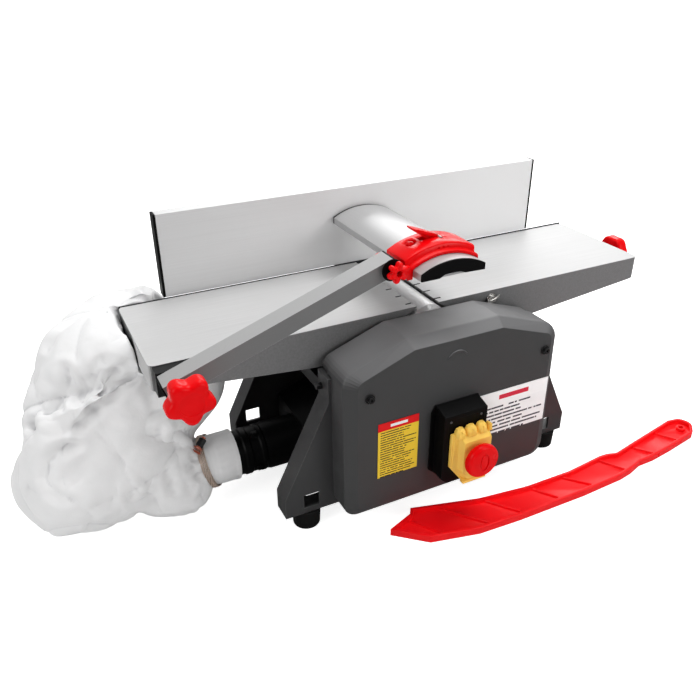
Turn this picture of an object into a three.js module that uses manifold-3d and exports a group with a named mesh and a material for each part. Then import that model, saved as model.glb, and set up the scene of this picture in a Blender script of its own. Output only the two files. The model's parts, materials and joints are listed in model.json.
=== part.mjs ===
// Bench surface planer with fence, bridge guard, dust chute and bag.
// Millimetres. +X runs along the tables to the infeed end, +Y to the fence, +Z up.
// Sizes are laid out from the point on the floor under the cutter axis, on the tables' centre line.
// The finished group is then moved so that its origin is the centre of its footprint, on the floor.

import * as THREE from 'three';
import { mergeVertices } from 'three/addons/utils/BufferGeometryUtils.js';
import Module from 'manifold-3d';

const wasm = await Module();
wasm.setup();

// ---------------------------------------------------------------- driving sizes
const RAD = Math.PI / 180;
const GAP = 0.3; // clearance between separate pieces

const TABLE = {
  top: 251.5,
  halfWidth: 80,
  skin: 9, // thickness of the table plate
  skirt: 6, // thickness of the side skirts
  endDepth: 30.5, // skirt height at the outer end
  midDepth: 49.5, // skirt height near the body
  midX: 150, // where the skirt stops deepening
  cornerRadius: 9,
  clearance: 3.5, // room under the skirts for the infeed table to come down
};
const LIP = { reach: 24, tip: 2, slope: 30 * RAD }; // thin edge of a table next to the cutter
const POCKETS = [[32, 120], [126, 214], [220, 313]]; // hollows under a table, measured from its lip
const OUTFEED = { lipX: -17, endX: -337.5 };
const INFEED = { lipX: 15, endX: 342, drop: 1 }; // drop is the depth of cut at rest
const COMB = { count: 6, first: -69, pitch: 24, width: 2.6, length: 9 };
const WAY = { x0: 60, x1: 100, z: 222, halfWidth: 52, slope: 30 * RAD }; // slope the infeed table slides on
const RAMP = { x0: 52, x1: 108, z0: 190, gap: 0.5 };
const CROSS_BAR = { z0: 186, z1: 196 }; // bars across the frame that carry the tables
const OUTFEED_BAR = { x0: -105, x1: -56, blockX0: -100, blockX1: -60, blockZ: 190 };
const SCREW = { radius: 4, z: 225, fromX: 104, toX: 370, nutX0: 107, nutX1: 120, nutZ0: 188, nutZ1: 238 };
const DEPTH_KNOB = { radius: 24, depth: 5, lobes: 6, length: 16, edge: 2 };
const POINTER = { x: 93, z: 239, radius: 6, length: 5.5 };

const CUTTER = { z: 226, radius: 24.6, knifeRadius: 25.5, y0: -80, y1: 75, journal: 8 };
const MOTOR = { x: 84, z: 112, radius: 44, shaft: 7, front: -109, back: 20 };
const PULLEY = { front: -136.5, back: -121.5, cutterRadius: 13, motorRadius: 26, flange: 1.5 };
const BELT = { thickness: 3, slack: 0.25 };
const BORE_CLEARANCE = 0.09; // running fit of a shaft in its hole
const BEARING = { outer: 14, length: 8, boss: 3 };
const KNIFE_ANGLES = [60, 240];

const FRAME = {
  frontY: -115.8,
  rearY: 95,
  sheet: 3,
  rim: 27.5,
  outerX: 211,
  footZ: 25,
  heelZ: 52,
  shoulderX: 152,
  shoulderZ: 173,
  topZ: 205,
};
const TOWER = { halfWidth: 36, foot: 46, topZ: 242 }; // raised middle of a frame plate, round the bearing
const CHANNEL = { inner: 128, outer: 146, z0: 166, z1: 184, wall: 3 }; // tubes between the frame plates
const FRAME_BOLT = { x0: -159, x1: -152.2, y: -97, z: 188, radius: 4.5 };
const WINDOW = { x0: 166.5, x1: 187, z0: 33, z1: 52 };
const FOOT = { radius: 18, leftX: -179, rightX: 189, inset: 14 };

const COVER = {
  frontY: -154,
  hoodY: -86,
  wall: 3,
  round: 10, // rounding of the front edge
  halfWidth: 148,
  bottomZ: 26,
  shoulderZ: 218,
  topZ: 247.3,
  topX0: -66,
  topX1: 61,
};

const COVER_BOLTS = { left: [-119, 192], right: [125, 193] };
const COVER_BOLT = { radius: 4.5, head: 5 };
const SAFETY_LABEL = { x0: -108, x1: -54, z0: 77, z1: 154 };
const RATING_LABEL = { x0: 29, x1: 137, z0: 88, z1: 152 };

const SWITCH = { x0: -32, x1: 28, z0: 55, z1: 157, depth: 22 };
const LID = { x0: -30, x1: 28, z0: 58, z1: 136, frontY: -190, wall: 2 };
const STOP = { x: 7, z: 95, radius: 22, stem: 9 };
const START = { x: -2, z: 118, radius: 7 };

const LID_TEETH = { count: 4, first: 7, pitch: 14, width: 7, rise: 5 };

const HINGE = { y: 106, z: 260, outer: 7, pin: 4, end: 60 }; // axis the fence tilts on
const SHELF = { halfWidth: 40, y1: 200, z0: 244, z1: 251.5, footZ: 150 };
const CARRIAGE = { halfWidth: 45, y0: 113.5, y1: 236, z0: 252, z1: 258 };
const SLIDE_BOLT = { y: 124, radius: 5, slot: 110 };
const HANDLE = { radius: 4, root: 5.5, length: 58 };
const FENCE = { x0: -278, x1: 274, y: 82.2, thickness: 16, height: 105, lift: 0.5, wall: 2.5 };

const ARM = {
  pivot: [-314, -107.5, 244],
  tilt: 19.13 * RAD,
  width: 25,
  height: 19.7,
  wall: 2,
  tail: 16.5, // length behind the pivot
  reach: 256.5, // length ahead of the pivot
};
const ARM_KNOB = { y0: -158, y1: -136, radius: 26, depth: 5.5, lobes: 5, edge: 3, stem: 4 };
const ARM_BRACKET = { behind: 20, ahead: 22, z0: 222, z1: 250.5 };
const SADDLE_PIVOT = { x: 252, z: -1, bolt: 3 }; // in the arm's own frame
const SADDLE_KNOB = { y0: -137, radius: 12.3, depth: 3.6, lobes: 6, edge: 1.5 };
const PLATE = { x0: -50, x1: 33, y0: -138, y1: 77.5, edgeZ: 312, sideZ: 320, rise: 11, wall: 2.5 };
const SADDLE = { y0: -120, y1: -74, skin: 7, x0: -57, x1: 36.5, lip: 4, ear: 9, earSkin: 2.7 };
const LEVER = { x: -2, z: 341.8, pin: 2, tilt: 22, y0: -95.9, y1: -88.1, barrel: 2.7, length: 36 };
const LEVER_POST = { x0: -8, x1: 4, y0: -99, y1: -85, skin: 2.8, z0: 332, z1: 345 };

const PORT = { y: 0, z: 54.5, radius: 29.4, wall: 2.4, startX: -150, endX: -268 };
const HOPPER = {
  halfWidth: 57,
  corners: [[-46, 198], [-70, 120], [-150, 90], [-150, 22], [10, 22], [46, 150], [46, 198]],
};
const CLAMP = { x0: -273, x1: -264, radius: 33, band: 0.9 };
const BAG = {
  // centre and radius of each bulge
  lobes: [[-343, 62, 179, 93], [-417, 12, 84, 79], [-369, 93, 92, 59], [-292, 70, 140, 70]],
  throat: [-322, 4, 50, 46],
  mouthX: -236,
};

const STICK = { top: 10.2, bottom: 0.2, hole: 4, holeX: 388, holeY: -176 };

// ---------------------------------------------------------------- materials
const COLOUR = {
  castGrey: 0x7d7d7d,
  groundAlloy: 0xc3c3c3,
  brushedAlloy: 0xcfcfd0,
  charcoal: 0x434343,
  black: 0x111111,
  rubber: 0x161616,
  steel: 0xb9babd,
  darkSteel: 0x55575a,
  red: 0xdc1212,
  yellow: 0xf2b533,
  green: 0x1f9a3c,
  white: 0xf1f1f0,
  labelYellow: 0xe3c634,
  copper: 0xa8715a,
};

function paint(color, roughness, metalness) {
  return new THREE.MeshStandardMaterial({ color, roughness, metalness });
}

// ---------------------------------------------------------------- solid helpers
function toSolid(geometry) {
  const plain = geometry.clone();
  plain.deleteAttribute('normal');
  plain.deleteAttribute('uv');
  const merged = mergeVertices(plain, 1e-4);
  const mesh = new wasm.Mesh({
    numProp: 3,
    vertProperties: new Float32Array(merged.attributes.position.array),
    triVerts: new Uint32Array(merged.index.array),
  });
  return new wasm.Manifold(mesh);
}

function toGeometry(solid) {
  const mesh = solid.getMesh();
  const geometry = new THREE.BufferGeometry();
  geometry.setAttribute('position', new THREE.BufferAttribute(new Float32Array(mesh.vertProperties), 3));
  geometry.setIndex(new THREE.BufferAttribute(new Uint32Array(mesh.triVerts), 1));
  geometry.computeVertexNormals();
  return geometry;
}

function join(...solids) {
  return solids.reduce((sum, next) => sum.add(next));
}

function cut(body, ...tools) {
  return tools.reduce((rest, tool) => rest.subtract(tool), body);
}

// A block between two opposite corners.
function block(x0, x1, y0, y1, z0, z1) {
  const geometry = new THREE.BoxGeometry(x1 - x0, y1 - y0, z1 - z0);
  geometry.translate((x0 + x1) / 2, (y0 + y1) / 2, (z0 + z1) / 2);
  return toSolid(geometry);
}

// A round bar along X, Y or Z from a to b; at holds the two other coordinates in axis order.
function bar(axis, radius, a, b, at, segments = 28, endRadius = radius) {
  const geometry = new THREE.CylinderGeometry(endRadius, radius, b - a, segments);
  geometry.translate(0, (a + b) / 2, 0);
  if (axis === 'x') {
    geometry.rotateZ(-Math.PI / 2);
    geometry.translate(0, at[0], at[1]);
  } else if (axis === 'y') {
    geometry.translate(at[0], 0, at[1]);
  } else {
    geometry.rotateX(Math.PI / 2);
    geometry.translate(at[0], at[1], 0);
  }
  return toSolid(geometry);
}

// A closed outline; each corner is [u, v] or [u, v, radius].
function outline(corners) {
  const shape = new THREE.Shape();
  corners.forEach((corner, i) => {
    const [u, v, radius = 0] = corner;
    const here = new THREE.Vector2(u, v);
    const before = new THREE.Vector2(...corners[(i + corners.length - 1) % corners.length].slice(0, 2));
    const after = new THREE.Vector2(...corners[(i + 1) % corners.length].slice(0, 2));
    const from = before.sub(here).normalize().multiplyScalar(radius).add(here);
    const to = after.sub(here).normalize().multiplyScalar(radius).add(here);
    if (i === 0) {
      shape.moveTo(from.x, from.y);
    } else {
      shape.lineTo(from.x, from.y);
    }
    if (radius > 0) {
      shape.quadraticCurveTo(u, v, to.x, to.y);
    }
  });
  shape.closePath();
  return shape;
}

// Extrusion options that round both edges without growing the outline.
function roundedEdge(size, bevelSegments) {
  return { bevelEnabled: true, bevelThickness: size, bevelSize: size, bevelOffset: -size, bevelSegments };
}

function extruded(shape, depth, options = {}) {
  const settings = { depth, bevelEnabled: false, curveSegments: 6, steps: 1, ...options };
  return new THREE.ExtrudeGeometry(shape, settings);
}

// Prism of an XZ outline between two y positions.
function prismY(shape, y0, y1, options) {
  const geometry = extruded(shape, y1 - y0, options);
  geometry.rotateX(Math.PI / 2);
  geometry.translate(0, y1, 0);
  return toSolid(geometry);
}

// Prism of a YZ outline between two x positions.
function prismX(shape, x0, x1, options) {
  const geometry = extruded(shape, x1 - x0, options);
  geometry.rotateX(Math.PI / 2);
  geometry.rotateZ(Math.PI / 2);
  geometry.translate(x0, 0, 0);
  return toSolid(geometry);
}

// Prism of an XY outline between two z positions.
function prismZ(shape, z0, z1, options) {
  const geometry = extruded(shape, z1 - z0, options);
  geometry.translate(0, 0, z0);
  return toSolid(geometry);
}

// Star-knob outline with smooth lobes around a centre.
function starOutline(x, y, radius, depth, lobes, steps = 8) {
  const shape = new THREE.Shape();
  const count = lobes * steps;
  for (let i = 0; i < count; i += 1) {
    const angle = (2 * Math.PI * i) / count;
    const r = radius - (depth * (1 - Math.cos(lobes * angle))) / 2;
    const u = x + r * Math.cos(angle + Math.PI / 2);
    const v = y + r * Math.sin(angle + Math.PI / 2);
    if (i === 0) {
      shape.moveTo(u, v);
    } else {
      shape.lineTo(u, v);
    }
  }
  shape.closePath();
  return shape;
}

const planer = new THREE.Group();

function piece(name, solid, material, parent = planer) {
  const mesh = new THREE.Mesh(toGeometry(solid), material);
  mesh.name = name;
  parent.add(mesh);
  return mesh;
}

// ---------------------------------------------------------------- materials in use
const castGrey = () => paint(COLOUR.castGrey, 0.5, 0.4);
const charcoal = () => paint(COLOUR.charcoal, 0.42, 0.1);
const blackPlastic = () => paint(COLOUR.black, 0.5, 0);
const blackSteel = () => paint(COLOUR.black, 0.45, 0.3);
const redPlastic = () => paint(COLOUR.red, 0.28, 0);
const brushedAlloy = () => paint(COLOUR.brushedAlloy, 0.32, 0.85);
const steel = () => paint(COLOUR.steel, 0.25, 0.95);
const darkSteel = () => paint(COLOUR.darkSteel, 0.45, 0.7);

// ---------------------------------------------------------------- frame
// Moves every edge of a counter-clockwise outline inwards by the same distance.
function inset(corners, distance) {
  return corners.map((corner, i) => {
    const here = new THREE.Vector2(...corner);
    const before = new THREE.Vector2(...corners[(i + corners.length - 1) % corners.length]);
    const after = new THREE.Vector2(...corners[(i + 1) % corners.length]);
    const into = here.clone().sub(before).normalize();
    const out = after.clone().sub(here).normalize();
    const n1 = new THREE.Vector2(-into.y, into.x);
    const n2 = new THREE.Vector2(-out.y, out.x);
    const shift = n1.add(n2).multiplyScalar(distance / (1 + n1.dot(n2)));
    return [here.x + shift.x, here.y + shift.y];
  });
}

function frameOutline() {
  const right = [
    [FRAME.outerX, FRAME.footZ],
    [FRAME.outerX, FRAME.heelZ],
    [FRAME.shoulderX, FRAME.shoulderZ],
    [FRAME.shoulderX, FRAME.topZ],
    [TOWER.foot, FRAME.topZ],
    [TOWER.halfWidth, TOWER.topZ],
  ];
  const left = right.map(([x, z]) => [-x, z]).reverse();
  return [...right, ...left];
}

// A pressed plate with a folded rim; facing is -1 for the front plate and +1 for the rear plate.
function framePlate(outerY, facing) {
  const innerY = outerY - facing * FRAME.sheet;
  const rimY = outerY - facing * FRAME.rim;
  const [low, high] = [Math.min(outerY, rimY), Math.max(outerY, rimY)];
  const tray = prismY(outline(frameOutline()), low, high);
  const hollow = prismY(
    outline(inset(frameOutline(), FRAME.sheet)),
    Math.min(innerY, rimY - facing),
    Math.max(innerY, rimY - facing),
  );
  const seatY = innerY - facing * BEARING.length;
  const bossSpan = [Math.min(innerY + facing, seatY), Math.max(innerY + facing, seatY)];
  const boss = bar('y', BEARING.outer + BEARING.boss, ...bossSpan, [0, CUTTER.z], 28);
  const seatSpan = [Math.min(innerY, seatY - facing), Math.max(innerY, seatY - facing)];
  const seat = bar('y', BEARING.outer + 0.05, ...seatSpan, [0, CUTTER.z], 28);
  const through = [low - 1, high + 1];
  const journalHole = bar('y', CUTTER.journal + 3, ...through, [0, CUTTER.z], 24);
  const windows = [-1, 1].map((side) => {
    const x0 = Math.min(side * WINDOW.x0, side * WINDOW.x1);
    return block(x0, x0 + WINDOW.x1 - WINDOW.x0, ...through, WINDOW.z0, WINDOW.z1);
  });
  const tableRelief = block(-FRAME.outerX, FRAME.outerX, -TABLE.halfWidth - 0.6, TABLE.halfWidth + 0.6,
    TABLE.top - TABLE.midDepth - TABLE.clearance, TABLE.top);
  let plate = cut(join(cut(tray, hollow, tableRelief), boss), seat, journalHole, ...windows);
  if (facing < 0) {
    plate = cut(plate, bar('y', MOTOR.shaft + 4, ...through, [MOTOR.x, MOTOR.z], 24));
  }
  return plate;
}

function buildFrame() {
  piece('front_frame_plate', framePlate(FRAME.frontY, -1), charcoal());
  piece('rear_frame_plate', framePlate(FRAME.rearY, 1), charcoal());
  const span = [FRAME.frontY + FRAME.sheet + 0.1, FRAME.rearY - FRAME.sheet - 0.1];
  [[-1, 'left'], [1, 'right']].forEach(([side, label]) => {
    const x0 = Math.min(side * CHANNEL.inner, side * CHANNEL.outer);
    const x1 = x0 + CHANNEL.outer - CHANNEL.inner;
    const tube = block(x0, x1, ...span, CHANNEL.z0, CHANNEL.z1);
    const core = block(x0 + CHANNEL.wall, x1 - CHANNEL.wall, span[0] - 1, span[1] + 1,
      CHANNEL.z0 + CHANNEL.wall, CHANNEL.z1 - CHANNEL.wall);
    piece(`${label}_cross_member`, cut(tube, core), blackSteel());
  });
  const footY = { front: FRAME.frontY + FOOT.inset, rear: FRAME.rearY - FOOT.inset };
  Object.entries(footY).forEach(([row, y]) => {
    [['left', FOOT.leftX], ['right', FOOT.rightX]].forEach(([side, x]) => {
      const pad = bar('z', FOOT.radius - 1.2, 0, FRAME.footZ - 0.1, [x, y], 36, FOOT.radius);
      piece(`foot_${row}_${side}`, pad, paint(COLOUR.rubber, 0.85, 0));
    });
  });
  const bolt = bar('x', FRAME_BOLT.radius, FRAME_BOLT.x0, FRAME_BOLT.x1, [FRAME_BOLT.y, FRAME_BOLT.z], 6);
  piece('frame_bolt', bolt, blackSteel());
}

// ---------------------------------------------------------------- tables
// d runs from the lip towards the outer end.
function tableSolid({ lipX, endX }, top) {
  const dir = Math.sign(endX);
  const at = (d) => lipX + dir * d;
  const lipRise = LIP.reach * Math.tan(LIP.slope);
  const side = outline([
    [lipX, top],
    [endX, top],
    [endX, top - TABLE.endDepth],
    [dir * TABLE.midX, top - TABLE.midDepth],
    [at(LIP.reach), top - TABLE.midDepth],
    [at(LIP.reach), top - LIP.tip - lipRise],
    [lipX, top - LIP.tip],
  ]);
  const y = TABLE.halfWidth;
  const plan = outline([
    [lipX, -y],
    [endX, -y, TABLE.cornerRadius],
    [endX, y, TABLE.cornerRadius],
    [lipX, y],
  ]);
  const body = prismY(side, -y, y).intersect(prismZ(plan, top - 2 * TABLE.midDepth, top + 1));
  const inner = y - TABLE.skirt;
  const pockets = POCKETS.map(([a, b]) => {
    const x0 = Math.min(at(a), at(b));
    return block(x0, x0 + b - a, -inner, inner, top - 2 * TABLE.midDepth, top - TABLE.skin);
  });
  const slots = Array.from({ length: COMB.count }, (_, i) => {
    const mid = COMB.first + i * COMB.pitch;
    const x0 = Math.min(at(-1), at(COMB.length));
    return block(x0, x0 + COMB.length + 1, mid - COMB.width / 2, mid + COMB.width / 2, top - 14, top + 1);
  });
  return cut(body, ...pockets, ...slots);
}

function wayZ(x) {
  return WAY.z - Math.tan(WAY.slope) * (x - WAY.x0);
}

function buildTables() {
  piece('outfeed_table', tableSolid(OUTFEED, TABLE.top), castGrey());

  const supportTop = TABLE.top - TABLE.midDepth - TABLE.clearance;
  const between = [FRAME.frontY + FRAME.sheet + 0.1, FRAME.rearY - FRAME.sheet - 0.1];
  const support = join(
    block(OUTFEED_BAR.x0, OUTFEED_BAR.x1, ...between, CROSS_BAR.z0, supportTop),
    block(OUTFEED_BAR.blockX0, OUTFEED_BAR.blockX1, -WAY.halfWidth, WAY.halfWidth,
      OUTFEED_BAR.blockZ, TABLE.top - TABLE.skin - 0.1),
  );
  piece('outfeed_support', support, darkSteel());

  const top = TABLE.top - INFEED.drop;
  const way = outline([
    [WAY.x0, wayZ(WAY.x0)],
    [WAY.x1, wayZ(WAY.x1)],
    [WAY.x1, top - TABLE.skin + 1],
    [WAY.x0, top - TABLE.skin + 1],
  ]);
  const lug = block(INFEED.endX - 8, INFEED.endX - 1, -16, 16, SCREW.z - 16, top - TABLE.skin + 1);
  const screwHole = bar('x', SCREW.radius + BORE_CLEARANCE, INFEED.endX - 20, INFEED.endX + 5,
    [0, SCREW.z], 28);
  const ribHoles = bar('x', SCREW.radius + 2.5, WAY.x1 + 20, INFEED.endX - 12, [0, SCREW.z], 16);
  const table = join(tableSolid(INFEED, top), prismY(way, -WAY.halfWidth, WAY.halfWidth), lug);
  piece('infeed_table', cut(table, ribHoles, screwHole), castGrey());

  const ramp = outline([
    [RAMP.x0, RAMP.z0],
    [RAMP.x1, RAMP.z0],
    [RAMP.x1, wayZ(RAMP.x1) - RAMP.gap],
    [RAMP.x0, wayZ(RAMP.x0) - RAMP.gap],
  ]);
  const nut = cut(
    block(SCREW.nutX0, SCREW.nutX1, -14, 14, SCREW.nutZ0, SCREW.nutZ1),
    bar('x', SCREW.radius + 3.5, SCREW.nutX0 - 7, SCREW.nutX1 + 5, [0, SCREW.z], 20),
  );
  const wedge = prismY(ramp, -WAY.halfWidth, WAY.halfWidth);
  const rampBar = block(RAMP.x0, SCREW.nutX1, ...between, CROSS_BAR.z0, CROSS_BAR.z1);
  piece('infeed_ramp', join(rampBar, wedge, nut), darkSteel());

  piece('depth_screw', bar('x', SCREW.radius, SCREW.fromX, SCREW.toX, [0, SCREW.z], 28), steel());
  const knobShape = starOutline(0, SCREW.z, DEPTH_KNOB.radius, DEPTH_KNOB.depth, DEPTH_KNOB.lobes);
  const knob = prismX(knobShape, SCREW.toX + 0.1, SCREW.toX + DEPTH_KNOB.length,
    roundedEdge(DEPTH_KNOB.edge, 2));
  const reach = DEPTH_KNOB.radius + 5;
  const behind = block(SCREW.toX - 5, SCREW.toX + 0.1, -reach, reach, SCREW.z - reach, SCREW.z + reach);
  piece('depth_knob', cut(knob, behind), redPlastic());
  const face = -TABLE.halfWidth - 0.1;
  const pointer = bar('y', POINTER.radius, face - POINTER.length, face, [POINTER.x, POINTER.z], 6);
  piece('pointer_bolt', pointer, steel());
}

// ---------------------------------------------------------------- cutter and drive
function pulley({ x, z, radius }) {
  const groove = bar('y', radius, PULLEY.front, PULLEY.back, [x, z], 28);
  const front = bar('y', radius + 2, PULLEY.front, PULLEY.front + PULLEY.flange, [x, z], 28);
  const back = bar('y', radius + 2, PULLEY.back - PULLEY.flange, PULLEY.back, [x, z], 28);
  return join(groove, front, back);
}

// Outline that wraps two wheels, going round the outside of both.
function wrapOutline(a, b, growth) {
  const ra = a.radius + growth;
  const rb = b.radius + growth;
  const along = Math.atan2(b.z - a.z, b.x - a.x);
  const lean = Math.acos((ra - rb) / Math.hypot(b.x - a.x, b.z - a.z));
  const shape = new THREE.Shape();
  shape.absarc(a.x, a.z, ra, along + lean, along - lean + 2 * Math.PI);
  shape.absarc(b.x, b.z, rb, along - lean, along + lean);
  shape.closePath();
  return shape;
}

function buildDrive() {
  const axis = [0, CUTTER.z];
  const { y0, y1 } = CUTTER;
  const knifeSlot = (angle) => {
    const slot = block(-1.6, 1.6, y0 - 1, y1 + 1, CUTTER.radius - 9, CUTTER.radius + 2);
    return slot.rotate([0, angle, 0]).translate([0, 0, CUTTER.z]);
  };
  const knife = (angle) => {
    const blade = block(-1.4, 1.4, y0 + 1, y1 - 1, CUTTER.radius - 8.8, CUTTER.knifeRadius);
    return blade.rotate([0, angle, 0]).translate([0, 0, CUTTER.z]);
  };
  const drum = join(
    bar('y', CUTTER.radius, y0, y1, axis, 32),
    bar('y', CUTTER.journal, PULLEY.front, FRAME.rearY - FRAME.sheet - 1, axis, 32),
  );
  piece('cutter_block', cut(drum, ...KNIFE_ANGLES.map(knifeSlot)), steel());
  piece('cutter_knife_a', knife(KNIFE_ANGLES[0]), steel());
  piece('cutter_knife_b', knife(KNIFE_ANGLES[1]), steel());

  const bearing = (a, b) => cut(
    bar('y', BEARING.outer, a, b, axis, 28),
    bar('y', CUTTER.journal + BORE_CLEARANCE, a - 1, b + 1, axis, 32),
  );
  const frontSeat = FRAME.frontY + FRAME.sheet;
  const rearSeat = FRAME.rearY - FRAME.sheet;
  piece('cutter_bearing_front', bearing(frontSeat + 0.1, frontSeat + BEARING.length), steel());
  piece('cutter_bearing_rear', bearing(rearSeat - BEARING.length, rearSeat - 0.1), steel());

  const cutterWheel = { x: 0, z: CUTTER.z, radius: PULLEY.cutterRadius };
  const motorWheel = { x: MOTOR.x, z: MOTOR.z, radius: PULLEY.motorRadius };
  const shaftHole = (wheel, radius) => bar('y', radius, -150, -100, [wheel.x, wheel.z], 32);
  piece('cutter_pulley',
    cut(pulley(cutterWheel), shaftHole(cutterWheel, CUTTER.journal + 0.03)), darkSteel());
  piece('motor_pulley',
    cut(pulley(motorWheel), shaftHole(motorWheel, MOTOR.shaft + 0.03)), darkSteel());

  const beltY = [PULLEY.front + PULLEY.flange + 0.5, PULLEY.back - PULLEY.flange - 0.5];
  const wrap = (growth) => wrapOutline(motorWheel, cutterWheel, growth);
  const fine = { curveSegments: 12 };
  const belt = cut(
    prismY(wrap(BELT.slack + BELT.thickness), ...beltY, fine),
    prismY(wrap(BELT.slack), beltY[0] - 1, beltY[1] + 1, fine),
  );
  piece('drive_belt', belt, paint(COLOUR.rubber, 0.8, 0));

  const spindleBack = MOTOR.back - 30;
  piece('motor_spindle', bar('y', MOTOR.shaft, PULLEY.front, spindleBack, [MOTOR.x, MOTOR.z], 32), steel());
  const can = join(
    bar('y', MOTOR.radius, MOTOR.front + 8, MOTOR.back, [MOTOR.x, MOTOR.z], 28),
    bar('y', MOTOR.radius - 10, MOTOR.front, MOTOR.back + 8, [MOTOR.x, MOTOR.z], 32),
  );
  const spindleHole = bar('y', MOTOR.shaft + BORE_CLEARANCE, MOTOR.front - 5, spindleBack + 3,
    [MOTOR.x, MOTOR.z], 32);
  piece('motor_housing', cut(can, spindleHole), darkSteel());
}

// ---------------------------------------------------------------- belt cover and controls
function coverOutline() {
  const w = COVER.halfWidth;
  return outline([
    [-w, COVER.bottomZ, 18],
    [w, COVER.bottomZ, 18],
    [w, COVER.shoulderZ, 20],
    [COVER.topX1, COVER.topZ, 12],
    [COVER.topX0, COVER.topZ, 12],
    [-w, COVER.shoulderZ, 20],
  ]);
}

function buildCover() {
  const rounded = (offset) => ({
    bevelEnabled: true,
    bevelThickness: COVER.round - offset,
    bevelSize: COVER.round - offset,
    bevelOffset: -COVER.round,
    bevelSegments: 4,
    curveSegments: 5,
  });
  const startY = COVER.frontY + COVER.round;
  const farY = -70;
  const outer = prismY(coverOutline(), startY, farY, rounded(0));
  const inner = prismY(coverOutline(), startY, farY, rounded(COVER.wall));
  const wide = COVER.halfWidth + 20;
  const cover = cut(
    outer,
    inner,
    block(-wide, wide, COVER.hoodY, 0, 0, 300),
    block(-wide, wide, FRAME.frontY - GAP, 0, 0, 207),
    block(COVER.topX0 + 5, COVER.topX1 - 5, -100, 0, COVER.topZ - 1.5, 300),
  );
  piece('belt_cover', cover, charcoal());

  Object.entries(COVER_BOLTS).forEach(([side, at]) => {
    const head = bar('y', COVER_BOLT.radius, COVER.frontY - COVER_BOLT.head, COVER.frontY - 0.1, at, 6);
    piece(`cover_bolt_${side}`, head, blackSteel());
  });
  const sticker = ({ x0, x1, z0, z1 }) => block(x0, x1, COVER.frontY - 0.6, COVER.frontY - 0.1, z0, z1);
  piece('safety_label', sticker(SAFETY_LABEL), paint(COLOUR.labelYellow, 0.5, 0));
  piece('rating_label', sticker(RATING_LABEL), paint(COLOUR.white, 0.5, 0));
}

function turnedToFront(profile, segments, x, y, z) {
  const points = profile.map(([r, h]) => new THREE.Vector2(r, h));
  const geometry = new THREE.LatheGeometry(points, segments);
  geometry.rotateX(Math.PI);
  geometry.translate(x, y, z);
  return toSolid(geometry);
}

function buildSwitch() {
  const backY = COVER.frontY - 0.7;
  const faceY = COVER.frontY - SWITCH.depth;
  const box = block(SWITCH.x0, SWITCH.x1, faceY, backY, SWITCH.z0, SWITCH.z1);
  const startHole = bar('y', START.radius + BORE_CLEARANCE, faceY - 1, faceY + 10, [START.x, START.z], 32);
  piece('switch_box', cut(box, startHole), blackPlastic());
  const start = bar('y', START.radius, faceY - 5, faceY + 5, [START.x, START.z], 32);
  piece('start_button', start, paint(COLOUR.green, 0.35, 0));

  const corners = [
    [LID.x0, LID.z0 + 19],
    [LID.x0 + 17, LID.z0],
    [LID.x1, LID.z0],
    [LID.x1, LID.z1],
    [LID.x0, LID.z1],
  ];
  const shell = prismY(outline(corners), LID.frontY, faceY - GAP);
  const hollow = prismY(outline(inset(corners, LID.wall)), LID.frontY + LID.wall, faceY + 1);
  const stemHole = bar('y', STOP.stem + BORE_CLEARANCE, LID.frontY - 1, LID.frontY + 3, [STOP.x, STOP.z], 28);
  const teeth = Array.from({ length: LID_TEETH.count }, (_, i) => {
    const x = LID.x0 + LID_TEETH.first + i * LID_TEETH.pitch;
    return block(x, x + LID_TEETH.width, LID.frontY + 1, LID.frontY + 6, LID.z1 - 1, LID.z1 + LID_TEETH.rise);
  });
  piece('switch_lid', cut(join(shell, ...teeth), hollow, stemHole), paint(COLOUR.yellow, 0.35, 0));

  const [stem, head] = [STOP.stem, STOP.radius];
  const profile = [
    [0, 0],
    [stem, 0],
    [stem, 14],
    [head - 3, 14],
    [head, 16.5],
    [head, 21],
    [head - 2, 24],
    [head - 7, 25.5],
    [0, 26],
  ];
  piece('stop_button', turnedToFront(profile, 40, STOP.x, faceY - 5, STOP.z), redPlastic());
}

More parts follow.
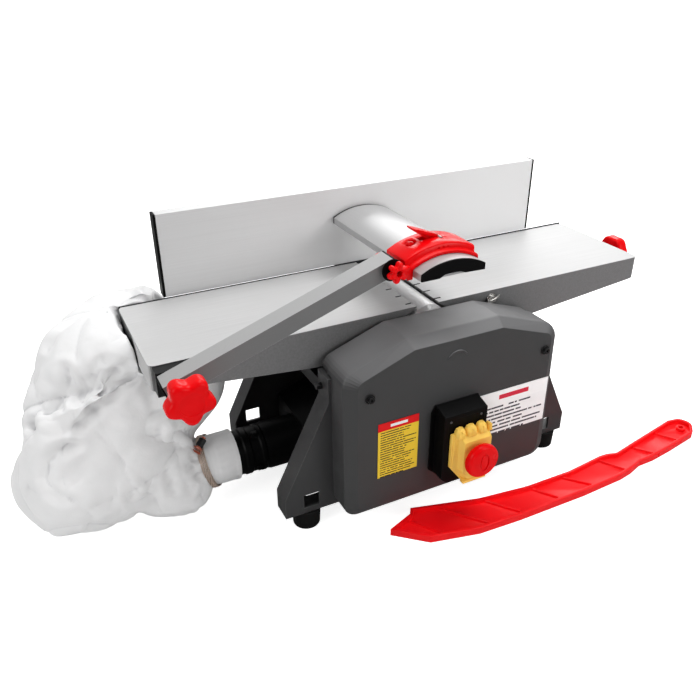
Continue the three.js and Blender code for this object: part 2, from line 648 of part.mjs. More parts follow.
// ---------------------------------------------------------------- fence
function buildFence() {
  const z0 = TABLE.top + FENCE.lift;
  const z1 = z0 + FENCE.height;
  const y0 = FENCE.y;
  const y1 = FENCE.y + FENCE.thickness;
  const mid = (z0 + z1) / 2;
  const w = FENCE.wall;
  const cells = [[z0 + w, mid - w / 2], [mid + w / 2, z1 - w]].map(
    ([a, b]) => block(FENCE.x0 - 1, FENCE.x1 + 1, y0 + w, y1 - w, a, b),
  );
  piece('fence', cut(block(FENCE.x0, FENCE.x1, y0, y1, z0, z1), ...cells), brushedAlloy());
  piece('fence_cap_left', block(FENCE.x0 - 3, FENCE.x0 - 0.1, y0, y1, z0, z1), blackPlastic());
  piece('fence_cap_right', block(FENCE.x1 + 0.1, FENCE.x1 + 3, y0, y1, z0, z1), blackPlastic());

  const at = [HINGE.y, HINGE.z];
  const knuckle = (a, b) => join(
    bar('x', HINGE.outer, a, b, at, 24),
    block(a, b, y1 + 0.1, HINGE.y, HINGE.z, HINGE.z + HINGE.outer),
    block(a, b, y1 + 0.1, y1 + 5, HINGE.z, HINGE.z + 12),
  );
  const bracket = cut(
    join(
      block(-HINGE.end, HINGE.end, y1 + 0.1, y1 + 5, HINGE.z + 9, HINGE.z + 64),
      knuckle(-HINGE.end, -31),
      knuckle(31, HINGE.end),
    ),
    bar('x', HINGE.pin + BORE_CLEARANCE, -HINGE.end - 10, HINGE.end + 10, at, 28),
  );
  piece('fence_bracket', bracket, castGrey());

  const slot = block(-SLIDE_BOLT.radius - 1, SLIDE_BOLT.radius + 1,
    SLIDE_BOLT.y - 7, SLIDE_BOLT.y - 7 + SLIDE_BOLT.slot, CARRIAGE.z0 - 1, CARRIAGE.z1 + 1);
  const middle = join(
    bar('x', HINGE.outer, -30, 30, at, 24),
    block(-30, 30, HINGE.y, CARRIAGE.y0 + 0.5, CARRIAGE.z0, CARRIAGE.z1),
    block(-CARRIAGE.halfWidth, CARRIAGE.halfWidth, CARRIAGE.y0, CARRIAGE.y1, CARRIAGE.z0, CARRIAGE.z1),
    bar('x', HINGE.pin, -HINGE.end - 6, HINGE.end + 6, at, 28),
  );
  piece('fence_carriage', cut(middle, slot), castGrey());

  const rearFace = FRAME.rearY + 0.1;
  const boltTop = CARRIAGE.z1 + 10;
  const rail = join(
    block(-SHELF.halfWidth, SHELF.halfWidth, rearFace, SHELF.y1, SHELF.z0, SHELF.z1),
    block(-SHELF.halfWidth, SHELF.halfWidth, rearFace, rearFace + 6, SHELF.footZ, SHELF.z1),
    bar('z', SLIDE_BOLT.radius, SHELF.z0, boltTop, [0, SLIDE_BOLT.y], 28),
  );
  piece('fence_rail', rail, darkSteel());

  const hub = bar('z', 9, CARRIAGE.z1 + 0.5, boltTop + 1, [0, SLIDE_BOLT.y], 24);
  const handle = bar('x', HANDLE.radius, 5, HANDLE.length, [SLIDE_BOLT.y, CARRIAGE.z1 + 6], 16, HANDLE.root);
  const boltHole = bar('z', SLIDE_BOLT.radius + BORE_CLEARANCE, CARRIAGE.z1 - 1, boltTop + 0.3,
    [0, SLIDE_BOLT.y], 28);
  piece('fence_slide_lever', cut(join(hub, handle), boltHole), blackPlastic());

  const tiltHub = bar('x', HINGE.outer, HINGE.end + 0.5, HINGE.end + 10, at, 24);
  const tiltHandle = bar('y', HANDLE.radius, HINGE.y + 4, HINGE.y + HANDLE.length,
    [HINGE.end + 6, HINGE.z], 16, HANDLE.root);
  const pinHole = bar('x', HINGE.pin + BORE_CLEARANCE, HINGE.end, HINGE.end + 6.5, at, 28);
  piece('fence_tilt_lever', cut(join(tiltHub, tiltHandle), pinHole), blackPlastic());
}

// ---------------------------------------------------------------- bridge guard
const armGroup = new THREE.Group();

function buildArm() {
  armGroup.position.set(...ARM.pivot);
  armGroup.rotation.y = -ARM.tilt;
  planer.add(armGroup);
  const half = ARM.width / 2;
  const low = -ARM.height / 2 - 0.5;
  const high = low + ARM.height;
  const w = ARM.wall;
  const pivotHole = bar('y', ARM_KNOB.stem + BORE_CLEARANCE, -half - 5, half + 5, [0, 0], 28);
  const endHole = bar('y', SADDLE_PIVOT.bolt + BORE_CLEARANCE, -half - 5, half + 5,
    [SADDLE_PIVOT.x, SADDLE_PIVOT.z], 32);
  const tube = cut(
    block(-ARM.tail, ARM.reach, -half, half, low, high),
    block(-ARM.tail - 1, ARM.reach + 1, -half + w, half - w, low + w, high - w),
    pivotHole,
    endHole,
  );
  piece('guard_arm', tube, brushedAlloy(), armGroup);
  const tailPlug = block(-ARM.tail - 2, -ARM.tail - 0.1, -half, half, low, high);
  piece('arm_plug_left', tailPlug, blackPlastic(), armGroup);
  const plug = cut(
    join(
      block(ARM.reach + 0.1, ARM.reach + 2, -half, half, low, high),
      block(ARM.reach - 16, ARM.reach + 1, -half + w + 0.2, half - w - 0.2, low + w + 0.2, high - w - 0.2),
    ),
    endHole,
  );
  piece('arm_plug_right', plug, blackPlastic(), armGroup);

  const [px, , pz] = ARM.pivot;
  const bracketY = [ARM.pivot[1] + half + 0.3, -TABLE.halfWidth - 0.1];
  const bracket = cut(
    block(px - ARM_BRACKET.behind, px + ARM_BRACKET.ahead, ...bracketY, ARM_BRACKET.z0, ARM_BRACKET.z1),
    bar('y', ARM_KNOB.stem + BORE_CLEARANCE, bracketY[0] - 1, bracketY[1] + 1, [px, pz], 28),
  );
  piece('arm_bracket', bracket, blackSteel());

  const { y0, y1, edge } = ARM_KNOB;
  const shape = starOutline(px, pz, ARM_KNOB.radius, ARM_KNOB.depth, ARM_KNOB.lobes);
  const star = prismY(shape, y0 + edge, y1 - edge, roundedEdge(edge, 2));
  const hub = bar('y', 9, y1 - 4, ARM.pivot[1] - half - 1, [px, pz], 24);
  const stem = bar('y', ARM_KNOB.stem, y1 - 5, bracketY[1] - 1, [px, pz], 28);
  piece('arm_knob', join(star, hub, stem), redPlastic());
}

// World XZ place of the saddle's pivot.
function saddlePivot() {
  const { x, z } = SADDLE_PIVOT;
  const c = Math.cos(ARM.tilt);
  const s = Math.sin(ARM.tilt);
  return { x: ARM.pivot[0] + x * c - z * s, z: ARM.pivot[2] + x * s + z * c };
}

function arcPoints(cx, cz, radius, fromX, toX, count) {
  return Array.from({ length: count + 1 }, (_, i) => {
    const x = fromX + ((toX - fromX) * i) / count;
    return [x, cz + Math.sqrt(radius * radius - (x - cx) ** 2)];
  });
}

function plateArc() {
  const half = (PLATE.x1 - PLATE.x0) / 2;
  const radius = (half * half + PLATE.rise * PLATE.rise) / (2 * PLATE.rise);
  return { x: (PLATE.x0 + PLATE.x1) / 2, z: PLATE.sideZ + PLATE.rise - radius, radius };
}

function buildGuard() {
  const arc = plateArc();
  const top = arcPoints(arc.x, arc.z, arc.radius, PLATE.x1, PLATE.x0, 16);
  const skin = outline([[PLATE.x0, PLATE.edgeZ], [PLATE.x1, PLATE.edgeZ], ...top]);
  const w = PLATE.wall;
  const innerTop = arcPoints(arc.x, arc.z, arc.radius - w, PLATE.x1 - w, PLATE.x0 + w, 12);
  const core = outline([[PLATE.x0 + w, PLATE.edgeZ + w], [PLATE.x1 - w, PLATE.edgeZ + w], ...innerTop]);
  const extrusion = cut(prismY(skin, PLATE.y0, PLATE.y1), prismY(core, PLATE.y0 - 1, PLATE.y1 + 1));
  piece('guard_plate', extrusion, brushedAlloy());
  piece('guard_cap_front', prismY(skin, PLATE.y0 - 2.5, PLATE.y0 - 0.1), blackPlastic());
  piece('guard_cap_rear', prismY(skin, PLATE.y1 + 0.1, PLATE.y1 + 2.5), blackPlastic());

  const inner = arcPoints(arc.x, arc.z, arc.radius + GAP, PLATE.x1 + GAP, PLATE.x0 - GAP, 16);
  const outer = arcPoints(arc.x, arc.z, arc.radius + SADDLE.skin, SADDLE.x0, SADDLE.x1, 16);
  const bottom = PLATE.edgeZ - 3;
  const { lip } = SADDLE;
  const section = outline([
    [SADDLE.x0, bottom],
    ...outer,
    [SADDLE.x1, bottom],
    [PLATE.x1 - lip, bottom],
    [PLATE.x1 - lip, PLATE.edgeZ - GAP],
    [PLATE.x1 + GAP, PLATE.edgeZ - GAP],
    ...inner,
    [PLATE.x0 - GAP, PLATE.edgeZ - GAP],
    [PLATE.x0 + lip, PLATE.edgeZ - GAP],
    [PLATE.x0 + lip, bottom],
  ]);
  const pivot = saddlePivot();
  const half = ARM.width / 2;
  const earGap = 0.5;
  const frontEar = [ARM.pivot[1] - half - earGap - SADDLE.earSkin, ARM.pivot[1] - half - earGap];
  const backEar = [ARM.pivot[1] + half + earGap, ARM.pivot[1] + half + earGap + SADDLE.earSkin];
  const ear = ([a, b]) => join(
    bar('y', SADDLE.ear, a, b, [pivot.x, pivot.z], 24),
    block(pivot.x, SADDLE.x0 + 3, a, b, pivot.z - SADDLE.ear, pivot.z - 1),
  );
  const root = block(SADDLE.x0 - 3, SADDLE.x0 + 3, frontEar[0], backEar[1], bottom + 3, pivot.z - 1);
  const boltHole = bar('y', SADDLE_PIVOT.bolt + BORE_CLEARANCE, -130, -85, [pivot.x, pivot.z], 32);
  const { x0, x1, z0, z1, skin: cheek } = LEVER_POST;
  const post = cut(
    block(x0, x1, LEVER_POST.y0, LEVER_POST.y1, z0, z1),
    block(x0 - 1, x1 + 1, LEVER_POST.y0 + cheek, LEVER_POST.y1 - cheek, z0 + 5, z1 + 1),
    bar('y', LEVER.pin + BORE_CLEARANCE, LEVER_POST.y0 - 1, LEVER_POST.y1 + 1, [LEVER.x, LEVER.z], 24),
  );
  const crown = cut(post, prismY(skin, -130, -60));
  const shell = prismY(section, SADDLE.y0, SADDLE.y1);
  const saddle = cut(join(shell, ear(frontEar), ear(backEar), root), boltHole);
  piece('clamp_saddle', join(saddle, crown), redPlastic());

  buildLever();

  const { edge } = SADDLE_KNOB;
  const knobBack = frontEar[0] - 0.4;
  const shape = starOutline(pivot.x, pivot.z, SADDLE_KNOB.radius, SADDLE_KNOB.depth, SADDLE_KNOB.lobes);
  const star = prismY(shape, SADDLE_KNOB.y0 + edge, knobBack - edge, roundedEdge(edge, 1));
  const bolt = bar('y', SADDLE_PIVOT.bolt, knobBack - 3, backEar[1] + 4, [pivot.x, pivot.z], 32);
  piece('saddle_knob', join(star, bolt), redPlastic());
}

function buildLever() {
  const { y0, y1, length } = LEVER;
  const underside = -0.8;
  const topside = 2.6;
  const tongue = join(
    bar('y', LEVER.barrel, y0, y1, [0, 0], 24),
    block(4 - length, 0, y0, y1, underside, topside),
    block(-length, -13, y0 - 2.1, y1 + 2.1, underside, topside),
  );
  const tilted = tongue.rotate([0, LEVER.tilt, 0]).translate([LEVER.x, 0, LEVER.z]);
  const pin = bar('y', LEVER.pin, LEVER_POST.y0 + 0.2, LEVER_POST.y1 - 0.2, [LEVER.x, LEVER.z], 24);
  piece('clamp_lever', join(tilted, pin), redPlastic());
}

// ---------------------------------------------------------------- dust extraction
function buildDust() {
  const { corners, halfWidth: half } = HOPPER;
  const openTop = 7; // the hollow runs out through the top of the hopper
  const isTop = (corner) => corner[1] === corners[0][1];
  const innerCorners = inset(corners, PORT.wall).map(
    ([x, z], i) => [x, isTop(corners[i]) ? corners[i][1] + openTop : z],
  );
  const hopper = prismY(outline(corners), -half, half);
  const hopperInside = prismY(outline(innerCorners), -half + PORT.wall, half - PORT.wall);
  const centre = [PORT.y, PORT.z];
  const pipe = bar('x', PORT.radius, PORT.endX, PORT.startX + 4, centre, 28);
  const collar = bar('x', PORT.radius + 2, -190, -152, centre, 28);
  const bead = bar('x', PORT.radius + 1.6, -222, -214, centre, 28);
  const pipeInside = bar('x', PORT.radius - PORT.wall, PORT.endX - 1, PORT.startX + 8, centre, 28);
  piece('dust_chute', cut(join(hopper, pipe, collar, bead), hopperInside, pipeInside), blackPlastic());

  const band = cut(
    bar('x', CLAMP.radius + CLAMP.band, CLAMP.x0, CLAMP.x1, centre, 28),
    bar('x', CLAMP.radius, CLAMP.x0 - 1, CLAMP.x1 + 1, centre, 28),
  );
  const screwY = PORT.y + CLAMP.radius + 4.5;
  const saddle = block(CLAMP.x0 + 0.5, CLAMP.x1 - 0.5, screwY - 4.5, screwY - 2.6, PORT.z, PORT.z + 12);
  piece('hose_clamp', join(band, saddle), steel());
  const screw = bar('z', 3.2, PORT.z - 2, PORT.z + 18, [(CLAMP.x0 + CLAMP.x1) / 2, screwY + 1], 16);
  piece('clamp_screw', screw, paint(COLOUR.copper, 0.35, 0.8));

  piece('dust_bag', bagSolid(centre), paint(COLOUR.white, 0.9, 0));
}

// A full sack: bulges wrapped in one skin, a throat, and a cuff over the end of the port.
function bagSolid(centre) {
  const bulge = ([x, y, z, radius]) => {
    const ball = new THREE.SphereGeometry(radius, 18, 12);
    ball.translate(x, y, z);
    return toSolid(ball);
  };
  const cuffRadius = CLAMP.radius - 0.4;
  const sack = wasm.Manifold.hull(BAG.lobes.map(bulge));
  const collar = bar('x', cuffRadius, CLAMP.x0 - 6, CLAMP.x0 - 2, centre, 36);
  const neck = wasm.Manifold.hull([bulge(BAG.throat), collar]);
  const cuff = bar('x', cuffRadius, CLAMP.x0 - 3, BAG.mouthX, centre, 36);
  const bore = bar('x', PORT.radius + GAP, PORT.endX - 0.5, BAG.mouthX + 5, centre, 28);
  const underTable = block(OUTFEED.endX - 8, -200, -100, TABLE.halfWidth + 7, 208, 300);
  const besideFence = block(FENCE.x0 - 12, -200, 70, FENCE.y + FENCE.thickness + 4, 208, 300);
  return cut(join(sack, neck, cuff), bore, underTable, besideFence);
}

// ---------------------------------------------------------------- push stick
function buildStick() {
  const shape = outline([
    [-99, -173],
    [-62, -206, 6],
    [0, -220, 20],
    [229, -221, 12],
    [273, -210.5, 10],
    [337, -205, 20],
    [393, -195.5, 9],
    [410, -178, 9],
    [403, -161, 9],
    [383, -158, 8],
    [292, -175.5, 15],
    [257, -182.5, 6],
    [230, -177.6, 8],
    [99, -183.5, 30],
    [29, -174.6, 20],
    [-58, -151],
    [-64, -160],
  ]);
  const hole = bar('z', STICK.hole, STICK.bottom - 1, STICK.top + 10, [STICK.holeX, STICK.holeY], 20);
  piece('push_stick', cut(prismZ(shape, STICK.bottom, STICK.top), hole), redPlastic());
}

// Moves the group so that its origin is the centre of its footprint, on the floor.
function centreOnFootprint() {
  planer.updateMatrixWorld(true);
  const extent = new THREE.Box3().setFromObject(planer, true);
  const centre = extent.getCenter(new THREE.Vector3());
  planer.position.set(-centre.x, -centre.y, -extent.min.z);
}

buildFrame();
buildTables();
buildDrive();
buildCover();
buildSwitch();
buildFence();
buildArm();
buildGuard();
buildDust();
buildStick();
centreOnFootprint();

export default planer;
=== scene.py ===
"""Looks of a bench surface planer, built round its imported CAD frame. Sizes are in millimetres."""
import json
import math

import bmesh
import bpy
import numpy as np
from mathutils import Matrix, Vector

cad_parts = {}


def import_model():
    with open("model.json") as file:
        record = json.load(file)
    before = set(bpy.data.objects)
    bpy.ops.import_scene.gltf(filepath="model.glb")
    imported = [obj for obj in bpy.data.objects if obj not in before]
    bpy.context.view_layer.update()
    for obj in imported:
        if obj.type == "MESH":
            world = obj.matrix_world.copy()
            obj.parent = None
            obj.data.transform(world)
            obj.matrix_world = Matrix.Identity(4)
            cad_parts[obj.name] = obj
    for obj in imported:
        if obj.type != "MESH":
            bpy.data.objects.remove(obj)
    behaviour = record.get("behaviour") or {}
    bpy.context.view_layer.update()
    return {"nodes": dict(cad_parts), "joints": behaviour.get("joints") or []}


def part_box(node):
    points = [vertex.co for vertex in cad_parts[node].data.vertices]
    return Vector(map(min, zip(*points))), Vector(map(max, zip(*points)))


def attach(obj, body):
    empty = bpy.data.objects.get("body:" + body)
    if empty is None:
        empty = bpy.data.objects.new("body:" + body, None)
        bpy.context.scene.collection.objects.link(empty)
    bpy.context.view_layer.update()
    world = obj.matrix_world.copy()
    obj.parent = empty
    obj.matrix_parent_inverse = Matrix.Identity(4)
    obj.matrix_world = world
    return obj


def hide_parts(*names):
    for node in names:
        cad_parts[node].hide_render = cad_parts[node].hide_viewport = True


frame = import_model()
MM = 0.001
TAU = 2 * math.pi


def middle(node):
    low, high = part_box(node)
    return (low + high) / 2


# Sizes below start from the floor under the cutter axis, on the centre line of the tables.
ORIGIN = Vector((middle("cutter_block").x, middle("outfeed_table").y, 0))


def local(point):
    """A point of the frame, in millimetres from ORIGIN."""
    return (Vector(point) - ORIGIN) / MM


def world(point):
    """A point in millimetres from ORIGIN, back in the frame's metres."""
    return Vector(point) * MM + ORIGIN


def box(node):
    return [local(corner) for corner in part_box(node)]


def face_centre(node, axis="y"):
    """Middle of a node's box, in the plane across an axis."""
    low, high = box(node)
    return [(low[i] + high[i]) / 2 for i in range(3) if i != "xyz".index(axis)]


def joint_at(name):
    return local(next(j for j in frame["joints"] if j["name"] == name)["pos_m"])


def clamp01(value):
    return max(0.0, min(1.0, value))


def circle(centre, radius, count, rise=None, turn=0.0):
    """Points round a centre; rise is the second half-axis of an oval."""
    angles = [TAU * k / count + turn for k in range(count)]
    return [(centre[0] + radius * math.cos(a), centre[1] + (rise or radius) * math.sin(a)) for a in angles]


# --- shapes
def fillet(corners, steps=6):
    """Closed outline of [u, v] or [u, v, radius] corners, with an arc at each corner."""
    points = []
    for i, corner in enumerate(corners):
        here = Vector(corner[:2])
        radius = corner[2] if len(corner) > 2 else 0
        into = (here - Vector(corners[i - 1][:2])).normalized()
        away = (Vector(corners[(i + 1) % len(corners)][:2]) - here).normalized()
        turn = into.angle(away) if radius else 0
        if not radius or turn < 1e-3:
            points += [tuple(here)] * (steps + 1 if radius else 1)
            continue
        reach = radius * math.tan(turn / 2)
        start, end = here - into * reach, here + away * reach
        for k in range(steps + 1):
            t = k / steps
            a, b = (1 - t) ** 2, t ** 2
            w = 2 * t * (1 - t) * math.cos(turn / 2)
            points.append(tuple((start * a + here * w + end * b) / (a + b + w)))
    return points


def loft(rings):
    """Closed skin through rings of equal length, with flat ends."""
    count = len(rings[0])
    verts = [tuple(p) for ring in rings for p in ring]
    faces = []
    for r in range(len(rings) - 1):
        for i in range(count):
            j = (i + 1) % count
            a, b = r * count, (r + 1) * count
            faces.append([a + i, a + j, b + j, b + i])
    last = (len(rings) - 1) * count
    faces.append(list(range(count))[::-1])
    faces.append([last + i for i in range(count)])
    return verts, faces


def place(axis, u, v, w):
    """Point with u and v in the plane across an axis and w along it."""
    return {"x": (w, u, v), "y": (u, w, v), "z": (u, v, w)}[axis]


def prism(points, a, b, axis="y"):
    return loft([[place(axis, u, v, w) for u, v in points] for w in (a, b)])


def block(x0, x1, y0, y1, z0, z1):
    return prism([(x0, y0), (x1, y0), (x1, y1), (x0, y1)], z0, z1, "z")


def lathe(profile, centre, axis="y", segments=64):
    """Turned solid: profile is [radius, position along the axis], centre is in the plane across it."""
    return loft([[place(axis, u, v, w) for u, v in circle(centre, radius, segments)]
                 for radius, w in profile])


def rounded(radius, a, b, edge, steps=3):
    """Profile of a disc or bar from a to b with rounded edges."""
    side = 1 if b > a else -1
    quarter = [math.pi / 2 * k / steps for k in range(steps + 1)]
    arc = [(math.sin(a), math.cos(a)) for a in quarter]
    start = [[radius - edge * (1 - s), a + side * edge * (1 - c)] for s, c in arc]
    end = [[radius - edge * (1 - s), b - side * edge * (1 - c)] for s, c in reversed(arc)]
    return start + end


def merged(*parts):
    verts, faces = [], []
    for part_verts, part_faces in parts:
        base = len(verts)
        verts += part_verts
        faces += [[i + base for i in face] for face in part_faces]
    return verts, faces


def in_scene(name, data):
    obj = bpy.data.objects.new(name, data)
    bpy.context.scene.collection.objects.link(obj)
    return obj


def raw_object(name, part):
    verts, faces = part
    mesh = bpy.data.meshes.new(name)
    mesh.from_pydata([tuple(world(v)) for v in verts], [], faces)
    made = bmesh.new()
    made.from_mesh(mesh)
    bmesh.ops.remove_doubles(made, verts=made.verts, dist=1e-6)
    bmesh.ops.recalc_face_normals(made, faces=made.faces)
    made.to_mesh(mesh)
    made.free()
    return in_scene(name, mesh)


def boolean(obj, part, operation="DIFFERENCE"):
    """Cuts or joins a second solid, or a made object, and keeps only the result."""
    tool = raw_object(obj.name + "_tool", part) if isinstance(part, tuple) else part
    change = obj.modifiers.new("solid", "BOOLEAN")
    change.operation = operation
    change.solver = "EXACT"
    change.object = tool
    bake(obj)
    bpy.data.objects.remove(tool)
    return obj


def bake(obj):
    """Applies every modifier of an object to its mesh."""
    bpy.context.view_layer.update()
    shaped = obj.evaluated_get(bpy.context.evaluated_depsgraph_get())
    mesh = bpy.data.meshes.new_from_object(shaped)
    obj.modifiers.clear()
    obj.data = mesh
    return obj


def edges(obj, width, segments=2, angle=35):
    rounding = obj.modifiers.new("edges", "BEVEL")
    rounding.width = width * MM
    rounding.segments = segments
    rounding.limit_method = "ANGLE"
    rounding.angle_limit = math.radians(angle)
    rounding.miter_outer = "MITER_ARC"
    return obj


def smooth(obj, angle=32):
    mesh = obj.data
    mesh.polygons.foreach_set("use_smooth", [True] * len(mesh.polygons))
    mesh.set_sharp_from_angle(angle=math.radians(angle))
    return obj


def flatten(obj):
    """Keeps broad faces flat beside their rounded edges."""
    normals = obj.modifiers.new("normals", "WEIGHTED_NORMAL")
    normals.keep_sharp = True
    normals.weight = 100
    normals.mode = "FACE_AREA"
    return obj


def finish(obj, surface, body, replaces=(), angle=30):
    """Gives a shaped object its surface and the CAD body it rides on."""
    obj.data.materials.clear()
    obj.data.materials.append(S[surface])
    smooth(obj, angle)
    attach(obj, body)
    if replaces:
        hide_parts(*replaces)
    return obj


def piece(name, part, surface, body, replaces=(), bevel=0.0, cuts=(), angle=32, segments=2):
    """A simple piece: solid, cuts, rounded edges and finish."""
    obj = raw_object(name, part)
    for tool in cuts:
        boolean(obj, tool)
    if bevel:
        bake(edges(obj, bevel, segments))
    finish(obj, surface, body, replaces, angle)
    return flatten(obj) if bevel else obj


def carved(name, part, joins, cuts, surface, body, replaces, bevel, bevel_angle=30):
    """A piece of several solids joined, cut and rounded as one."""
    obj = raw_object(name, part)
    for tool in joins:
        boolean(obj, tool, "UNION")
    for tool in cuts:
        boolean(obj, tool)
    bake(edges(obj, bevel, 2, bevel_angle))
    return finish(obj, surface, body, replaces)


# --- surfaces
class Graph:
    """Short way to write the nodes of a material or a world."""

    def __init__(self, owner, shader="Principled BSDF"):
        self.owner = owner
        owner.use_nodes = True
        self.tree = owner.node_tree
        self.shader = self.tree.nodes[shader]
        self.where = self.node("ShaderNodeTexCoord").outputs["Object"]

    def node(self, kind, **values):
        made = self.tree.nodes.new(kind)
        for key, value in values.items():
            setattr(made, key, value)
        return made

    def link(self, source, target):
        if isinstance(source, (int, float)):
            target.default_value = source
        elif isinstance(source, (tuple, list)):
            target.default_value = (*source, 1) if len(source) == 3 and target.type == "RGBA" else source
        else:
            self.tree.links.new(source, target)

    def feed(self, kind, sources, output, **values):
        """A new node with its inputs set or linked; gives back one output."""
        made = self.node(kind, **values)
        for key, source in sources.items():
            self.link(source, made.inputs[key])
        return made.outputs[output]

    def noise(self, scale, detail=4.0, rough=0.55, stretch=None, distortion=0.0):
        where = self.where
        if stretch:
            where = self.feed("ShaderNodeMapping", {"Vector": where, "Scale": stretch}, "Vector")
        return self.feed("ShaderNodeTexNoise", {"Vector": where, "Scale": scale, "Detail": detail,
                                                "Roughness": rough, "Distortion": distortion}, "Fac")

    def ramp(self, value, low, high, out_low=0.0, out_high=1.0):
        return self.feed("ShaderNodeMapRange", {"Value": value, "From Min": low, "From Max": high,
                                                "To Min": out_low, "To Max": out_high}, "Result")

    def math(self, operation, a, b=0.0):
        return self.feed("ShaderNodeMath", {0: a, 1: b}, 0, operation=operation)

    def mix(self, factor, a, b):
        return self.feed("ShaderNodeMix", {"Factor": factor, "A": a, "B": b}, "Result", data_type="RGBA")

    def bump(self, height, strength, distance, normal=None):
        sources = {"Strength": strength, "Distance": distance * MM, "Height": height}
        if normal:
            sources["Normal"] = normal
        return self.feed("ShaderNodeBump", sources, "Normal")

    def dot(self, a, b):
        return self.feed("ShaderNodeVectorMath", {0: a, 1: b}, "Value", operation="DOT_PRODUCT")

    def edge_wear_and_highlight(self, radius):
        """1 along sharp edges, 0 on flat ground."""
        soft = self.feed("ShaderNodeBevel", {"Radius": radius * MM}, "Normal", samples=4)
        true = self.node("ShaderNodeNewGeometry").outputs["Normal"]
        return self.ramp(self.dot(soft, true), 0.985, 0.9)

    def along(self, vector, axis):
        return self.feed("ShaderNodeSeparateXYZ", {0: vector}, axis)

    def facing(self, axis, low, high):
        """0 to 1 as the surface turns towards an axis, from low to high."""
        normal = self.node("ShaderNodeNewGeometry").outputs["True Normal"]
        return self.ramp(self.along(normal, axis), low, high)

    def coordinate(self, axis):
        return self.along(self.where, axis)

    def mottle(self, value, color, dark, light):
        """A color from dark to light times itself, following a noise."""
        return self.mix(self.ramp(value, 0.3, 0.7), shade(color, dark), shade(color, light))

    def choose(self, factor, a, b, output):
        blend = self.node("ShaderNodeMixShader")
        for source, target in zip((factor, a, b), blend.inputs):
            self.link(source, target)
        self.link(blend.outputs["Shader"], self.tree.nodes[output].inputs["Surface"])

    def finish(self, **inputs):
        names = {"color": "Base Color", "rough": "Roughness", "metal": "Metallic", "normal": "Normal",
                 "coat": "Coat Weight", "coat_rough": "Coat Roughness", "sheen": "Sheen Weight",
                 "sheen_rough": "Sheen Roughness", "sss": "Subsurface Weight", "gleam": "Specular IOR Level"}
        for key, value in inputs.items():
            self.link(value, self.shader.inputs[names[key]])
        return self.owner


def shade(color, factor):
    return tuple(c * factor for c in color)


def new_graph(name):
    return Graph(bpy.data.materials.new(name))


def moulded(name, color, rough, grain=900.0, depth=0.05, coat=0.0, edge_wear_and_highlight=0.0, sss=0.0, mottle=0.1, gleam=0.5,
            top=1.0):
    """Moulded plastic or paint: faint mottling, fine grain, uneven gloss, lighter edges (edge wear and
    painted highlight).

    top is painted light: it lightens what faces up; gleam is the strength of reflections."""
    g = new_graph(name)
    tint = g.mottle(g.noise(14.0, 5.0), color, 1 - mottle, 1 + mottle)
    # painted light: faces turned up get the colour times top, standing in for light from above
    if top != 1.0:
        tint = g.mix(g.facing("Z", 0.3, 1.0), tint, shade(color, top))
    # edge wear and painted highlight: edges turn lighter
    if edge_wear_and_highlight:
        worn_and_lit = tuple(min(1, c * 1.6 + 0.08) for c in color)
        tint = g.mix(g.math("MULTIPLY", g.edge_wear_and_highlight(1.2), edge_wear_and_highlight), tint, worn_and_lit)
    grain_height = g.noise(grain, 3.0, 0.6)
    gloss = g.ramp(g.noise(38.0, 4.0), 0.3, 0.7, rough - 0.05, rough + 0.07)
    return g.finish(color=tint, rough=gloss, normal=g.bump(grain_height, 0.35, depth), coat=coat,
                    coat_rough=0.12, sss=sss, gleam=gleam)


def brushed(name, color, rough, along=(3.0, 260.0, 260.0), metal=1.0, depth=0.02, mottle=0.08, side=1.0,
            spread=None):
    """Metal with fine lines along one axis, faint smudges and lighter edges (edge wear and painted
    highlight).

    side is painted shade: it darkens what does not face up; spread is the stretch of X over which the metal
    turns white, a painted light."""
    g = new_graph(name)
    lines = g.noise(4.0, 6.0, 0.65, stretch=along)
    smudge = g.noise(9.0, 3.0)
    tint = g.mottle(lines, color, 1 - mottle, 1 + mottle * 0.6)
    # painted shade: faces that do not face up get the colour times side
    if side != 1.0:
        tint = g.mix(g.facing("Z", 0.3, 0.9), shade(color, side), tint)
    # painted light: the colour turns white across spread along X
    if spread:
        tint = g.mix(g.ramp(g.coordinate("X"), *spread), tint, (0.98, 0.98, 0.98))
    # edge wear and painted highlight: edges turn light grey
    tint = g.mix(g.math("MULTIPLY", g.edge_wear_and_highlight(0.8), 0.3), tint, (0.9, 0.9, 0.9))
    fine = g.ramp(lines, 0.25, 0.75, rough - 0.06, rough + 0.08)
    gloss = g.math("ADD", fine, g.ramp(smudge, 0.4, 0.8, 0, 0.06))
    return g.finish(color=tint, rough=gloss, metal=metal, normal=g.bump(lines, 0.25, depth))


